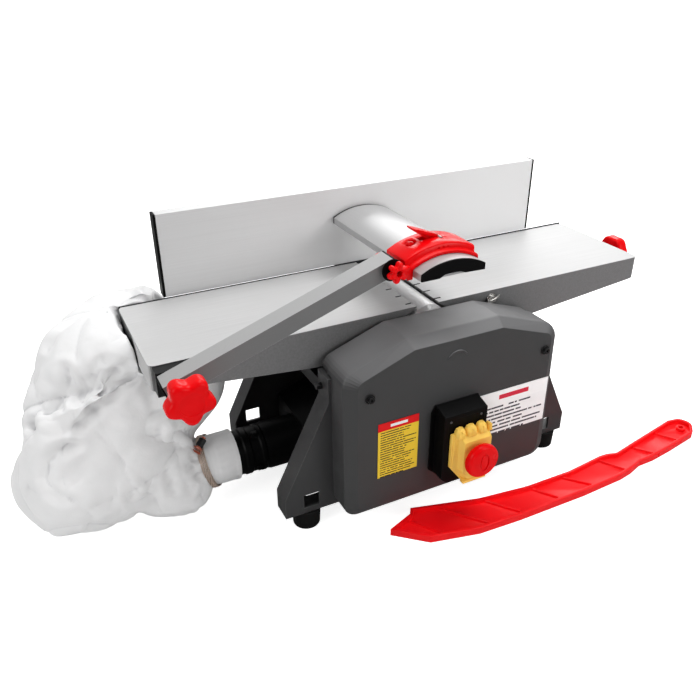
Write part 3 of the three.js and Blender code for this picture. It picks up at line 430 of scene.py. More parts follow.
def ground_casting(name, cast, ground):
    """Cast alloy with a planed top: dull cast skin on the sides, fine machining lines on the top, lighter
    edges (edge wear and painted highlight), painted light on the end that faces -X and painted shade
    near-black in slots and recesses.
    """
    g = new_graph(name)
    top = g.facing("Z", 0.9, 0.97)
    lines = g.noise(5.0, 5.0, 0.6, stretch=(1.6, 120.0, 1.0))
    cloud = g.noise(7.0, 4.0)
    skin = g.noise(420.0, 4.0, 0.7)
    cast_tint = g.mottle(skin, cast, 0.88, 1.1)
    # edge wear and painted highlight: edges of the cast skin lighten
    cast_tint = g.mix(g.math("MULTIPLY", g.edge_wear_and_highlight(1.5), 0.5), cast_tint, shade(cast, 1.9))
    # painted light: the end that faces -X, at the bag, gets a colour nearly as pale as the top
    cast_tint = g.mix(g.facing("X", -0.6, -0.98), cast_tint, shade(ground, 0.95))
    bright = g.mottle(lines, ground, 0.93, 1.05)
    bright = g.mix(g.ramp(cloud, 0.35, 0.75), bright, shade(ground, 0.94))
    rough = g.mix(top, (0.55,) * 3, (0.5,) * 3)
    height = g.mix(top, skin, lines)
    # painted shade: ambient occlusion turns slots and recesses near-black
    hollow = g.feed("ShaderNodeAmbientOcclusion", {"Distance": 12 * MM}, "AO", samples=6)
    open_face = g.ramp(hollow, 0.3, 0.75)
    tone = g.mix(open_face, (0.012, 0.012, 0.012), g.mix(top, cast_tint, bright))
    return g.finish(color=tone, rough=rough, metal=g.mix(top, (0.15,) * 3, (0.12,) * 3),
                    normal=g.bump(height, 0.3, 0.04), gleam=0.4)


def cloth_surface(name):
    """White non-woven cloth: pressed fibres and a soft sheen."""
    g = new_graph(name)
    fibre = g.noise(1500.0, 3.0, 0.7, distortion=1.5)
    cloud = g.noise(30.0, 5.0)
    tint = g.mix(g.ramp(cloud, 0.35, 0.7), (0.84, 0.84, 0.842), (0.88, 0.88, 0.882))
    tint = g.mix(g.math("MULTIPLY", g.ramp(fibre, 0.45, 0.7), 0.15), tint, (0.82, 0.82, 0.83))
    # painted shade: the colour darkens in the concave creases
    painted_crease_shade = g.ramp(g.node("ShaderNodeNewGeometry").outputs["Pointiness"], 0.492, 0.44)
    tint = g.mix(g.math("MULTIPLY", painted_crease_shade, 0.5), tint, (0.4, 0.4, 0.42))
    crumple = g.noise(55.0, 3.0, 0.5, distortion=0.6)
    normal = g.bump(crumple, 0.5, 1.0)
    normal = g.bump(fibre, 0.3, 0.08, normal)
    return g.finish(color=tint, rough=0.85, sheen=0.2, sheen_rough=0.5, normal=normal, gleam=0.2)


def bars(g, across, along, rows, fill, reach_low, reach_high, seed):
    """Rows of plain bars, each with its own length: 1 on a bar."""
    row = g.math("MULTIPLY", along, rows)
    band = g.math("LESS_THAN", g.math("FRACT", row), fill)
    spread = g.feed("ShaderNodeTexWhiteNoise", {"W": g.math("ADD", g.math("FLOOR", row), seed)}, "Value",
                    noise_dimensions="1D")
    reach = g.ramp(spread, 0, 1, reach_low, reach_high)
    inside = g.math("LESS_THAN", across, reach)
    clear = g.math("GREATER_THAN", across, 0.06)
    spot = g.feed("ShaderNodeCombineXYZ", {0: across, 1: g.math("MULTIPLY", g.math("FLOOR", row), 0.7)}, 0)
    dash = g.feed("ShaderNodeTexNoise", {"Scale": 26.0, "Vector": spot}, "Fac", noise_dimensions="2D")
    word = g.math("GREATER_THAN", dash, 0.36)
    return g.math("MULTIPLY", g.math("MULTIPLY", band, inside), g.math("MULTIPLY", clear, word))


def label_surface(name, node, ground, header, header_size, ink, rows, seed):
    """Printed film with a plain header and rows of bars, no lettering."""
    g = new_graph(name)
    low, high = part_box(node)
    across = g.ramp(g.coordinate("X"), low.x, high.x)
    up = g.ramp(g.coordinate("Z"), low.z, high.z)
    body_up = g.math("DIVIDE", up, 1 - header_size)
    print_mask = bars(g, across, body_up, rows, 0.42, 0.62, 0.95, seed)
    in_header = g.math("GREATER_THAN", up, 1 - header_size)
    tone = g.mottle(g.noise(40.0), ground, 0.95, 1.0)
    tone = g.mix(print_mask, tone, ink)
    title = g.math("MULTIPLY", g.math("GREATER_THAN", across, 0.3), g.math("LESS_THAN", across, 0.72))
    title_rise = g.math("MULTIPLY", g.math("GREATER_THAN", up, 1 - header_size * 0.68),
                        g.math("LESS_THAN", up, 1 - header_size * 0.34))
    head_tone = g.mix(g.math("MULTIPLY", title, title_rise), header[0], header[1])
    tone = g.mix(in_header, tone, head_tone)
    return g.finish(color=tone, rough=g.ramp(g.noise(60.0), 0.3, 0.7, 0.5, 0.62),
                    normal=g.bump(g.noise(500.0), 0.1, 0.02), gleam=0.12)


RED = (0.8, 0.001, 0.003)
YELLOW = (0.95, 0.6, 0.11)
S = {
    "cast": ground_casting("cast_alloy", (0.2, 0.2, 0.202), (0.6, 0.6, 0.6)),
    # painted light: top=3.2 makes the up-facing faces of the cover 3.2 times as light
    "cover": moulded("charcoal_cover", (0.052, 0.052, 0.053), 0.42, grain=500, depth=0.008, mottle=0.03,
                     gleam=0.35, top=3.2),
    "frame": moulded("charcoal_frame", (0.045, 0.045, 0.046), 0.38, grain=700, depth=0.08, edge_wear_and_highlight=0.5,
                     gleam=0.35),
    "black": moulded("black_plastic", (0.003, 0.003, 0.0032), 0.36, grain=1100, depth=0.05, edge_wear_and_highlight=0.06,
                     gleam=0.07),
    "black_steel": moulded("black_steel", (0.005, 0.005, 0.0055), 0.34, grain=600, depth=0.05, edge_wear_and_highlight=0.3,
                           gleam=0.3),
    "rubber": moulded("rubber", (0.005, 0.005, 0.005), 0.7, grain=500, depth=0.12, mottle=0.2, gleam=0.2),
    "dark_steel": moulded("dark_steel", (0.05, 0.051, 0.054), 0.42, grain=500, depth=0.08, edge_wear_and_highlight=0.7),
    "red": moulded("red_plastic", RED, 0.22, grain=800, depth=0.01, coat=0.02, mottle=0.05, gleam=0.12),
    "red_matt": moulded("red_tool_plastic", (0.98, 0.004, 0.008), 0.34, grain=600, depth=0.04, mottle=0.06,
                        gleam=0.25),
    "yellow": moulded("yellow_plastic", YELLOW, 0.32, grain=700, depth=0.03, sss=0.02, mottle=0.06,
                       gleam=0.3),
    "green": moulded("green_plastic", (0.02, 0.3, 0.05), 0.3),
    # painted light: spread turns the fence white towards +X
    "fence": brushed("brushed_fence", (0.72, 0.72, 0.722), 0.46, along=(1.2, 200.0, 200.0), metal=0.25,
                     mottle=0.05, spread=(-0.3, 0.2)),
    # painted shade: side=0.45 darkens the faces of the arm that do not face up
    "arm": brushed("brushed_arm", (0.4, 0.4, 0.401), 0.5, along=(2.0, 200.0, 200.0), metal=0.2, mottle=0.05,
                   side=0.45),
    "plate": brushed("brushed_guard", (0.47, 0.47, 0.473), 0.36, along=(200.0, 2.0, 200.0),
                     metal=0.45, mottle=0.06),
    "steel": brushed("bright_steel", (0.98, 0.98, 0.98), 0.32, along=(120.0, 1.5, 120.0), metal=0.45,
                     mottle=0.02),
    "zinc": brushed("zinc_steel", (0.5, 0.49, 0.47), 0.26, along=(60.0, 60.0, 60.0)),
    "band": brushed("clamp_band", (0.62, 0.5, 0.42), 0.26, along=(200.0, 2.0, 2.0), metal=0.7),
    "copper": brushed("copper_screw", (0.62, 0.17, 0.1), 0.26, along=(30.0, 30.0, 30.0), metal=0.6),
    "cloth": cloth_surface("bag_cloth"),
    "yellow_label": label_surface("yellow_label", "safety_label", (0.88, 0.6, 0.045),
                                  ((0.75, 0.01, 0.012), (0.9, 0.9, 0.9)), 0.14, (0.05, 0.035, 0.02), 20, 3.5),
    "white_label": label_surface("white_label", "rating_label", (1.0, 1.0, 1.0),
                                 ((1.0, 1.0, 1.0), (0.7, 0.03, 0.06)), 0.3, (0.07, 0.07, 0.08), 8, 14.5),
}


# --- CAD pieces that keep their shape
KEPT = {
    "cast": ("outfeed_table", "infeed_table", "fence_bracket", "fence_carriage"),
    "frame": ("front_frame_plate", "rear_frame_plate"),
    "black_steel": ("left_cross_member", "right_cross_member", "arm_bracket", "frame_bolt"),
    "dark_steel": ("outfeed_support", "infeed_ramp", "cutter_pulley", "motor_pulley", "fence_rail",
                   "motor_housing"),
    "rubber": ("foot_front_left", "foot_front_right", "foot_rear_left", "foot_rear_right", "drive_belt"),
    "steel": ("cutter_block", "cutter_knife_a", "cutter_knife_b", "cutter_bearing_front",
              "cutter_bearing_rear", "motor_spindle", "depth_screw"),
    "black": ("fence_cap_left", "fence_cap_right", "arm_plug_left", "arm_plug_right",
              "guard_cap_rear", "fence_slide_lever", "fence_tilt_lever"),
    "green": ("start_button",),
    "fence": ("fence",),
    "arm": ("guard_arm",),
    "plate": ("guard_plate",),
    "yellow_label": ("safety_label",),
    "white_label": ("rating_label",),
}
EDGE = {"cast": 1.0, "frame": 0.8, "rubber": 1.5, "black": 0.6, "fence": 0.5, "arm": 0.9, "plate": 0.4}
PLAIN = ("cutter_knife_a", "cutter_knife_b", "safety_label", "rating_label", "drive_belt", "cutter_block")


def dress_cad_nodes():
    for surface, names in KEPT.items():
        for name in names:
            node = frame["nodes"][name]
            node.data.materials.clear()
            node.data.materials.append(S[surface])
            weld = node.modifiers.new("weld", "WELD")
            weld.merge_threshold = 0.00001
            smooth(node, 30)
            if name not in PLAIN:
                edges(node, EDGE.get(surface, 0.4), 2, 40)
            flatten(node)


# --- belt cover
COVER_BEND = 195


def cover_ring(y, inset, drop, y_shift=0.0):
    """Cover outline at one depth: inset moves the sides in, drop and y_shift move the top down and back."""
    low, high = box("belt_cover")
    w, bottom, top = high[0] - inset, low[2] + inset * 0.6, high[2] - drop
    shoulder = 218 - drop * 0.75 + inset * 0.05
    t0, t1 = -66 + inset * 0.22, 61 - inset * 0.3
    foot, turn = 18 - inset * 0.3, 20 - inset * 0.5
    points = fillet([(-w, bottom, foot), (w, bottom, foot), (w, shoulder, turn),
                     (t1, top, 10), (t0, top, 10), (-w, shoulder, turn)])
    return [(x, y + y_shift * clamp01((z - COVER_BEND) / 35), z) for x, z in points]


def build_cover():
    low, high = box("belt_cover")
    back, front = high[1], low[1]
    rings = [cover_ring(back, 1.8, 1.8), cover_ring(-103.5, 1.8, 1.8), cover_ring(-104.5, 0, 0)]
    side_depth, top_depth = 7.0, 16.0
    profile = fillet([(-1, 0), (0, 0, 0.34), (1, 1, 0.13), (1, 2)], 5)[1:-1]
    for depth, inward in profile:
        y = front + side_depth * (1 - depth)
        rings.append(cover_ring(y, 14 * inward, 8 * inward, (top_depth - side_depth) * (1 - depth)))
    rings.append(cover_ring(front, 15.2, 8.8))
    inner = [cover_ring(back + 20, 4.6, 4.6), cover_ring(-134, 4.6, 4.6), cover_ring(front + 3.2, 18, 12)]
    wide = high[0] + 20
    plate_y = box("front_frame_plate")[0][1] - 0.3
    cuts = [loft(inner), block(-wide, wide, plate_y, 0, 0, 207)]
    cover = piece("cover_shell", loft(rings), "cover", "base", ["belt_cover"],
                  cuts=cuts, angle=24)
    edges(cover, 0.35, 2, 50)
    # moulded crescent on the face
    arc = []
    for k in range(17):
        angle = math.radians(28 + 124 * k / 16)
        thick = 2.3 * math.sin(math.pi * k / 16) ** 0.6 + 0.15
        ring = []
        for out, lift in ((-thick, 0), (-thick * 0.4, 1.5), (thick * 0.4, 1.5), (thick, 0)):
            r = 15.5 + out
            ring.append((-5 + r * math.cos(angle), front + 0.6 - lift, 208 + r * math.sin(angle)))
        arc.append(ring)
    piece("cover_crescent", loft(arc), "cover", "base", angle=50)
    for side in ("left", "right"):
        centre = face_centre("cover_bolt_" + side)
        washer = lathe(rounded(6.2, front - 0.05, front - 1.5, 0.5), centre, segments=32)
        hexagon = prism(circle(centre, 4.4, 6), front - 5.2, front - 1.4)
        socket = lathe([[2.1, front - 6], [2.1, front - 3.2]], centre, segments=6)
        piece("cover_screw_" + side, merged(washer, hexagon), "black_steel", "base",
              ["cover_bolt_" + side], bevel=0.4, cuts=[socket])


# --- switch, lid and stop button
LID_TOP = 132.0


def build_switch():
    """Black case with a cut corner, its flange, and the well of the start button."""
    low, high = box("switch_box")
    front, rear = low[1], high[1]
    x0, x1, z0, z1 = low[0], high[0], low[2], high[2]

    def case(y, top):
        corners = [(x0, z0 + 8, 3), (x0 + 9, z0, 3), (x1, z0, 2), (x1, top, 1), (x0, top, 1)]
        return [(u, y, v) for u, v in fillet(corners, 3)]

    rim = fillet([(x0 - 6, z0 + 12, 3), (x0 + 8, z0 - 1, 3), (x1 + 0.5, z0 - 1, 2), (x1 + 0.5, z1 + 1.6, 1),
                  (x0 - 1, z1 + 1.6, 1), (x0 - 6, z1 - 8, 3)], 3)
    window = block(x0 + 6, x1 - 5, front - 2, front + 1.0, LID_TOP - 30, z1 - 10.5)
    bore = lathe([[7.2, front - 2], [7.2, front + 12]], face_centre("start_button"), segments=40)
    shell = loft([case(rear, z1 + 1), case(rear - 2, z1 + 1), case(front, z1 - 4.5)])
    piece("switch_shell", shell, "black", "base", ["switch_box"], bevel=0.6, cuts=[window, bore])
    piece("switch_flange", prism(rim, rear - 1.6, rear), "black", "base", bevel=0.5)
    screws = merged(*[lathe(rounded(1.6, front + 1.2, front + 0.2, 0.4), (x, z1 - 13.6), segments=24)
                      for x in (x0 + 9.5, x1 - 8)])
    piece("switch_screws", screws, "dark_steel", "base", angle=30)


def build_lid():
    """Yellow lid: plate, rim, raised box, finger grips along the top and a tab at the bottom."""
    low, high = box("switch_lid")
    x0, x1, z0, top = -23.5, 30.0, 56.0, LID_TOP
    rear, face = high[1], low[1]
    flange_y = rear - 3.7

    def cut_corner(left, right, low_left, low_z, corner_x, upper):
        """Outline of a plate with its lower left corner cut off."""
        return [(left, low_left), (corner_x, low_z), (right, low_z), (right, upper), (left, upper)]

    def soft(corners):
        return fillet([(u, v, 2) for u, v in corners], 3)

    plate = prism(soft(cut_corner(x0, x1, z0 + 25, z0, x0 + 18.5, top - 4)), flange_y, rear)
    rim = prism(soft(cut_corner(x0 + 2.6, x1 - 1.5, z0 + 26, z0 + 3, x0 + 19.5, top - 5)),
                flange_y - 1.8, flange_y + 1)

    def lid_box(y, left, corner, right, upper, lower):
        corners = [(left, lower + corner, 2.5), (left + corner * 0.62, lower, 2.5), (right, lower, 2),
                   (right, upper, 2), (left, upper, 2)]
        return [(u, y, v) for u, v in fillet(corners, 3)]

    raised = loft([lid_box(flange_y - 1, -15, 16, 28.6, 125.5, 61.5), lid_box(face, -11, 13, 27, 119, 64)])
    grips = []
    for centre_x, half in ((-12.5, 6.6), (2.5, 7.6), (17.5, 6.6), (28, 2.6)):
        reach = 12.6 if half > 4 else 9.0
        outline = [(-half, 0), (-half * 0.96, reach - 5), (-half * 0.62, reach - 1), (0, reach),
                   (half * 0.62, reach - 1), (half * 0.96, reach - 5), (half, 0)]
        grips.append(loft([[(centre_x + u * wide, y, 123.5 + v * tall) for u, v in outline]
                           for y, wide, tall in ((rear - 1, 1, 1), (flange_y - 2, 1, 0.96),
                                                 (flange_y - 6, 0.7, 0.55))]))
        grips.append(block(centre_x - 0.9, centre_x + 0.9, flange_y - 6.5, flange_y, 124, 133))
    tab = block(-7, 26, flange_y - 7, flange_y, z0 - 0.5, z0 + 3.4)
    hollow = prism([(-9, 80), (-1, 68), (25, 68), (25, 116), (-9, 116)], face + 2, rear + 1)
    shallow = prism(cut_corner(x0 + 3, x1 - 3, z0 + 27, z0 + 5, x0 + 20, top - 6), rear - 1.6, rear + 1)
    stem_hole = lathe([[9.4, face - 2], [9.4, rear + 2]], stop_centre(), segments=48)
    slot = block(-2, 4.4, face - 2, rear + 2, z0 + 5.0, z0 + 7.4)
    carved("lid_shell", plate, (rim, raised, tab, *grips), (hollow, shallow, stem_hole, slot),
           "yellow", "lid", ["switch_lid"], 0.45)


def stop_centre():
    x, z = face_centre("stop_button")
    return x, z + 1


def build_stop():
    """Red mushroom button with an oval mark sunk in its face."""
    low, high = box("stop_button")
    centre = stop_centre()
    back, tip, r = high[1], low[1], high[0] - centre[0]
    profile = [[9, back], [9, back - 13], [12, back - 13.8], [r - 2.6, back - 14.2], [r - 0.8, back - 15.2],
               [r, back - 17], [r, tip + 5.2], [r - 0.6, tip + 3.2], [r - 2.2, tip + 1.7], [r - 5, tip + 0.8],
               [r - 7, tip + 0.9], [r - 8.5, tip + 0.5], [r * 0.3, tip], [0.4, tip]]
    mark = (centre[0], centre[1] + 0.5)
    piece("stop_mushroom", lathe(profile, centre, segments=96), "red", "stop", ["stop_button"],
          cuts=[prism(circle(mark, 6.2, 48, 11.8), tip - 2, tip + 1.5)], angle=40)
    piece("stop_mark", prism(circle(mark, 5.0, 48, 10.6), tip + 0.5, tip + 1.8), "red", "stop", bevel=0.3)


# --- knobs
def star_knob(centre, front, back, radius, depth, lobes, edge, turn=0.0, sharp=1.0, axis="y", steps=160):
    """Knob head with round lobes; depth is how far the hollows go in, edge rounds both faces."""
    side = 1 if back > front else -1
    levels = [(1 - math.cos(math.pi / 2 * k / 5), math.sin(math.pi / 2 * k / 5)) for k in range(6)]
    spans = [(front + side * edge * lift, edge * (1 - grow)) for lift, grow in levels]
    spans += [(back - side * edge * lift, edge * (1 - grow)) for lift, grow in reversed(levels)]
    rings = []
    for w, inward in spans:
        ring = []
        for angle in (TAU * i / steps for i in range(steps)):
            wave = (1 - math.cos(lobes * (angle - turn))) / 2
            r = radius - depth * wave ** sharp - inward
            ring.append(place(axis, centre[0] + r * math.cos(angle), centre[1] + r * math.sin(angle), w))
        rings.append(ring)
    return loft(rings)


def build_knobs():
    low, high = box("arm_knob")
    pivot = joint_at("arm_swing")
    centre = (pivot.x, pivot.z)
    front, back = low[1], low[1] + 22
    head = star_knob(centre, front, back, 26, 6.2, 5, 6.0, turn=-math.pi / 2, sharp=1.15)
    dish = lathe([[12.5, front - 2], [12.5, front + 0.4], [11.8, front + 0.8]], centre)
    hub = lathe([[10, back - 2], [9, back + 2], [8.6, -121]], centre, segments=48)
    piece("arm_star", merged(head, hub), "red", "arm_knob_body", ["arm_knob"], cuts=[dish], angle=40)
    stem = lathe([[4, -130], [4, high[1]]], centre, segments=32)
    piece("arm_stud", stem, "zinc", "arm_knob_body", angle=40)

    low, high = box("saddle_knob")
    pivot = joint_at("saddle_tilt")
    centre = (pivot.x, pivot.z)
    front = low[1]
    head = star_knob(centre, front, front + 9, 12.3, 4.6, 6, 3.4, turn=math.radians(18), sharp=1.5)
    bore = lathe([[3.6, front - 2], [3.6, front + 6]], centre, segments=40)
    head = merged(head, lathe(rounded(7.4, front + 8, front + 13.2, 0.8), centre, segments=40))
    piece("saddle_star", head, "red", "saddle_knob_body", ["saddle_knob"], cuts=[bore], angle=40)
    bolt = lathe([[2.9, front + 6], [2.9, high[1]]], centre, segments=32)
    nut = lathe(rounded(5, high[1] - 0.1, high[1] + 3.2, 0.4), centre, segments=6)
    piece("saddle_stud", merged(bolt, nut), "zinc", "saddle_knob_body", angle=40)

    low, high = box("depth_knob")
    centre = face_centre("depth_knob", "x")
    head = star_knob(centre, high[0], low[0] + 1, 24, 2.0, 6, 4.0, turn=math.pi / 3, sharp=0.9, axis="x")
    hub = lathe([[11, low[0] + 2], [10, low[0]]], centre, axis="x", segments=48)
    cap = lathe(rounded(9, high[0] - 1, high[0] + 1.2, 0.8), centre, axis="x", segments=48)
    piece("depth_star", merged(head, hub, cap), "red", "depth_knob_body", ["depth_knob"], angle=40)


# --- guard saddle, lever and caps
def build_lever(ax, az):
    """Flip lever: a wedge with a hollow flank, on its cross pin, lying back over the saddle."""
    tilt = math.radians(22)

    def leaning(points):
        return [(ax - u * math.cos(tilt) - v * math.sin(tilt), az + u * math.sin(tilt) + v * math.cos(tilt))
                for u, v in points]

    tip = [(37, -2.0), (38.6, -0.6), (38.2, 1.8), (28, 2.6)]
    side = [(-3, -1.4), (-1, -3), (6, -4.4), (15, -9.2), (18, -8.6), *tip, (6, 3.2), (0, 3.1), (-2.6, 1.8)]
    blade = [(12, -2.0), (22, -2.2), *tip, (12, 3.1)]
    hollow = leaning([(6.5, -1.6), (27, -2.4), (15.6, -7.2)])
    flanks = [prism(hollow, a, b) for a, b in ((-99, -93.0), (-91.0, -85))]
    carved("flip_lever", prism(leaning(side), -96.1, -87.9), [prism(leaning(blade), -98.2, -85.8)], flanks,
           "red", "lever", ["clamp_lever"], 0.4)
    pin = lathe(rounded(1.95, -101.0, -83.0, 0.3), (ax, az), segments=24)
    piece("lever_pin", pin, "zinc", "lever", angle=40)


def arch(cx, cz, radius, x0, x1, count=28):
    """Arc over a centre, from x0 to x1."""
    steps = [x0 + (x1 - x0) * i / count for i in range(count + 1)]
    return [(x, cz + math.sqrt(radius ** 2 - (x - cx) ** 2)) for x in steps]


GUARD_RISE = 11.0
SADDLE_WALL = 11.6


def guard_arc():
    """Centre and radius of the guard plate's arched top."""
    low, high = box("guard_plate")
    half = (high[0] - low[0]) / 2
    radius = (half ** 2 + GUARD_RISE ** 2) / (2 * GUARD_RISE)
    return (low[0] + high[0]) / 2, high[2] - radius, radius


def build_saddle():
    """Red saddle that holds the guard plate: arched hood, ears round the arm, seat, pocket and vents."""
    cx, cz, radius = guard_arc()
    plate_low, plate_high = box("guard_plate")
    px0, px1, bottom = plate_low[0], plate_high[0], plate_low[2] - 3
    left, right, rear, front = -57.0, 34.0, -74.0, -120.0

    def crest(x):
        return cz + math.sqrt((radius + SADDLE_WALL) ** 2 - (x - cx) ** 2)

    def hood(y, outer, x0, x1):
        top = arch(cx, cz, radius + outer, x0, x1)
        under = arch(cx, cz, radius + 0.4, px1 + 0.4, px0 - 0.4)
        ring = [(x0, bottom), *top, (x1, bottom), (px1 + 0.4, bottom), *under, (px0 - 0.4, bottom)]
        return [(x, y, z) for x, z in ring]

    wall = SADDLE_WALL
    shell = loft([hood(*ring) for ring in (
        (rear, wall - 2.4, left + 1, right - 1), (rear - 0.8, wall - 0.8, left + 0.3, right - 0.3),
        (rear - 2.6, wall, left, right), (-112.4, wall, left, right), (-115.2, wall - 0.9, left, right),
        (-116.4, wall - 2.8, left + 0.3, right - 0.2), (-116.8, 5.4, left + 0.8, right - 0.6),
        (-117.6, 4.5, left + 0.8, right - 0.4), (front - 1.0, 4.2, left, right + 0.8),
        (front - 2.6, 3.2, left, right + 1.2))])
    arm_low, arm_high = box("guard_arm")
    arm_front, arm_back = arm_low[1], arm_high[1]
    pivot = joint_at("saddle_tilt")
    hinge = (pivot.x, pivot.z)
    joins = []
    for a, b in ((arm_front - 3.2, arm_front - 0.5), (arm_back + 0.5, arm_back + 3.2)):
        joins.append(lathe([[9, a], [9, b]], hinge, segments=48))
        joins.append(block(pivot.x, left + 3, a, b, pivot.z - 9, pivot.z - 1))
    joins.append(block(left - 3, left + 3, arm_front - 3.2, arm_back + 3.2, bottom + 3, pivot.z - 1))
    # round seat for a ball-headed screw, lever pocket with its two slots, and vents on the front wall
    screw = (-36.0, -91.0)
    seat = crest(screw[0]) - 2.6
    lever = joint_at("clamp_lever_flip")
    ax, az = lever.x, lever.z
    cuts = [lathe([[6.6, seat], [7.2, seat + 3], [7.2, seat + 20]], screw, axis="z", segments=48),
            block(ax - 24, ax + 4, -96.5, -87.5, crest(ax) - 7.4, crest(ax) + 20)]
    cuts += [block(ax + 1.5, ax + 9, y, y + 1.6, crest(ax) - 2.4, crest(ax) + 20) for y in (-99.6, -86.0)]
    cuts += [block(x - 0.9, x + 0.9, -118.4, -115.6, crest(x) - 6.2, crest(x) - 4.0)
             for x in (-14.5, -8.5, -2.5)]
    cuts.append(lathe([[3.15, arm_front - 6], [3.15, arm_back + 6]], hinge, segments=32))
    cuts.append(lathe([[2.1, -103], [2.1, -81]], (ax, az), segments=24))
    carved("saddle_shell", shell, joins, cuts, "red", "saddle", ["clamp_saddle"], 0.5, 32)
    dome = [math.pi / 2 * k / 6 for k in range(6)]
    ball = [[0.3, seat - 0.2], [4.6, seat - 0.1], [5.2, seat + 0.8]]
    ball += [[5.2 * math.cos(a), seat + 0.8 + 3.4 * math.sin(a)] for a in dome]
    ball.append([0.2, seat + 4.2])
    piece("saddle_button", lathe(ball, screw, axis="z", segments=48), "red", "saddle", angle=50)
    build_lever(ax, az)
    disc = rounded(12.6, arm_front - 3.3, arm_front - 4.6, 0.5)
    piece("arm_washer", lathe(disc, (pivot.x - 1.5, pivot.z), segments=56), "black", "saddle", angle=40)


def build_guard_cap():
    """Arched front cap with a relieved foot."""
    low, high = box("guard_cap_front")
    plate_low, plate_high = box("guard_plate")
    x0, x1, z = plate_low[0], plate_high[0], plate_low[2]
    foot = [(x0, z), (x0 + 23, z), (x0 + 30, z + 3.4), (x0 + 42, z + 4.6), (x0 + 50, z + 3.6),
            (x0 + 57, z + 1.0), (x1, z)]
    outline = foot + arch(*guard_arc(), x1, x0, 30)
    piece("guard_cap_nose", prism(outline, low[1], high[1]), "black", "guard", ["guard_cap_front"], bevel=0.5)


# --- dust chute, clamp and bag
DUCT = (0.0, 54.5)


def build_chute():
    """Dust chute: a funnel under the cutter with a beaded round port and four lugs."""
    low, high = box("dust_chute")
    r, end, half = 29.4, low[0], high[1]
    start = -150.0
    outside = [(-46, 198), (-70, 120), (start, 90), (start, 22), (10, 22), (46, 150), (46, 198)]
    inside = [(-43.5, 205), (-67.8, 118.6), (start + 2.4, 88), (start + 2.4, 24.4), (8, 24.4), (43.5, 151),
              (43.5, 205)]
    tube = [[r, end], [r, -228], [r + 1.4, -226], [r + 1.4, -219], [r, -217], [r, -206], [r + 1.6, -204.5],
            [r + 1.6, -200], [r + 0.4, -198], [r + 2.2, -192], [r + 2.2, start + 3]]
    lugs = [block(-214, -206, y - 3, y + 3, z - 3, z + 3)
            for y, z in circle(DUCT, r + 1.2, 4, turn=math.radians(20))]
    bore = lathe([[r - 2.4, end - 5], [r - 2.4, start + 8]], DUCT, axis="x", segments=72)
    carved("chute_body", prism(outside, -half, half), [lathe(tube, DUCT, axis="x", segments=72), *lugs],
           [prism(inside, -half + 2.4, half - 2.4), bore], "black", "base", ["dust_chute"], 0.6, 35)


def build_clamp():
    """Hose clamp: a leaning band with pressed teeth, a worm housing and a copper screw."""
    low, high = box("hose_clamp")
    x0, x1, inner, steps = low[0], high[0], 33.6, 96

    def at(angle, radius, x):
        y, z = radius * math.cos(angle), radius * math.sin(angle)
        return x + 0.3 * y - 0.28 * z, DUCT[0] + y, DUCT[1] + z

    profile = ((inner, x0), (inner + 1.1, x0), (inner + 1.1, x1), (inner, x1))
    verts = [at(TAU * i / steps, radius, x) for i in range(steps) for radius, x in profile]
    faces = [[i * 4 + k, i * 4 + (k + 1) % 4, (i + 1) % steps * 4 + (k + 1) % 4, (i + 1) % steps * 4 + k]
             for i in range(steps) for k in range(4)]
    tooth = ((0, x0 + 2), (0.012, x1 - 2), (0.036, x1 - 2), (0.024, x0 + 2))
    teeth = [loft([[at(math.radians(146 + 4.6 * k) + a, inner + r, x) for a, x in tooth] for r in (1.0, 1.7)])
             for k in range(22)]
    piece("clamp_band", merged((verts, faces), *teeth), "band", "base", ["hose_clamp"], angle=40)
    seat = Vector(at(math.radians(106), inner + 6.0, (x0 + x1) / 2 + 4))
    axis = Vector((-0.7, -0.5, -0.5)).normalized()
    flat = axis.cross(Vector((0, -0.6, 0.8))).normalized()
    rise = flat.cross(axis).normalized()

    def turned(radius, start, end, count):
        ends = ((start, 0.86), (start + 0.5, 1), (end - 0.8, 1), (end, 0.8))
        return loft([[seat + axis * w + flat * u * k + rise * v * k for u, v in circle((0, 0), radius, count)]
                     for w, k in ends])

    piece("clamp_housing", turned(4.8, -5.5, 5.5, 24), "black_steel", "base", angle=40)
    bolt = merged(turned(2.7, -8, 9, 20), turned(5.6, 6.8, 8.2, 28), turned(4.6, 7.8, 12.6, 6))
    across = ((-6, -0.6), (6, -0.6), (6, 0.6), (-6, 0.6))
    slot = loft([[seat + axis * w + flat * u + rise * v for u, v in across] for w in (11.4, 14)])
    piece("clamp_bolt", bolt, "copper", "base", ["clamp_screw"], cuts=[slot], angle=35)


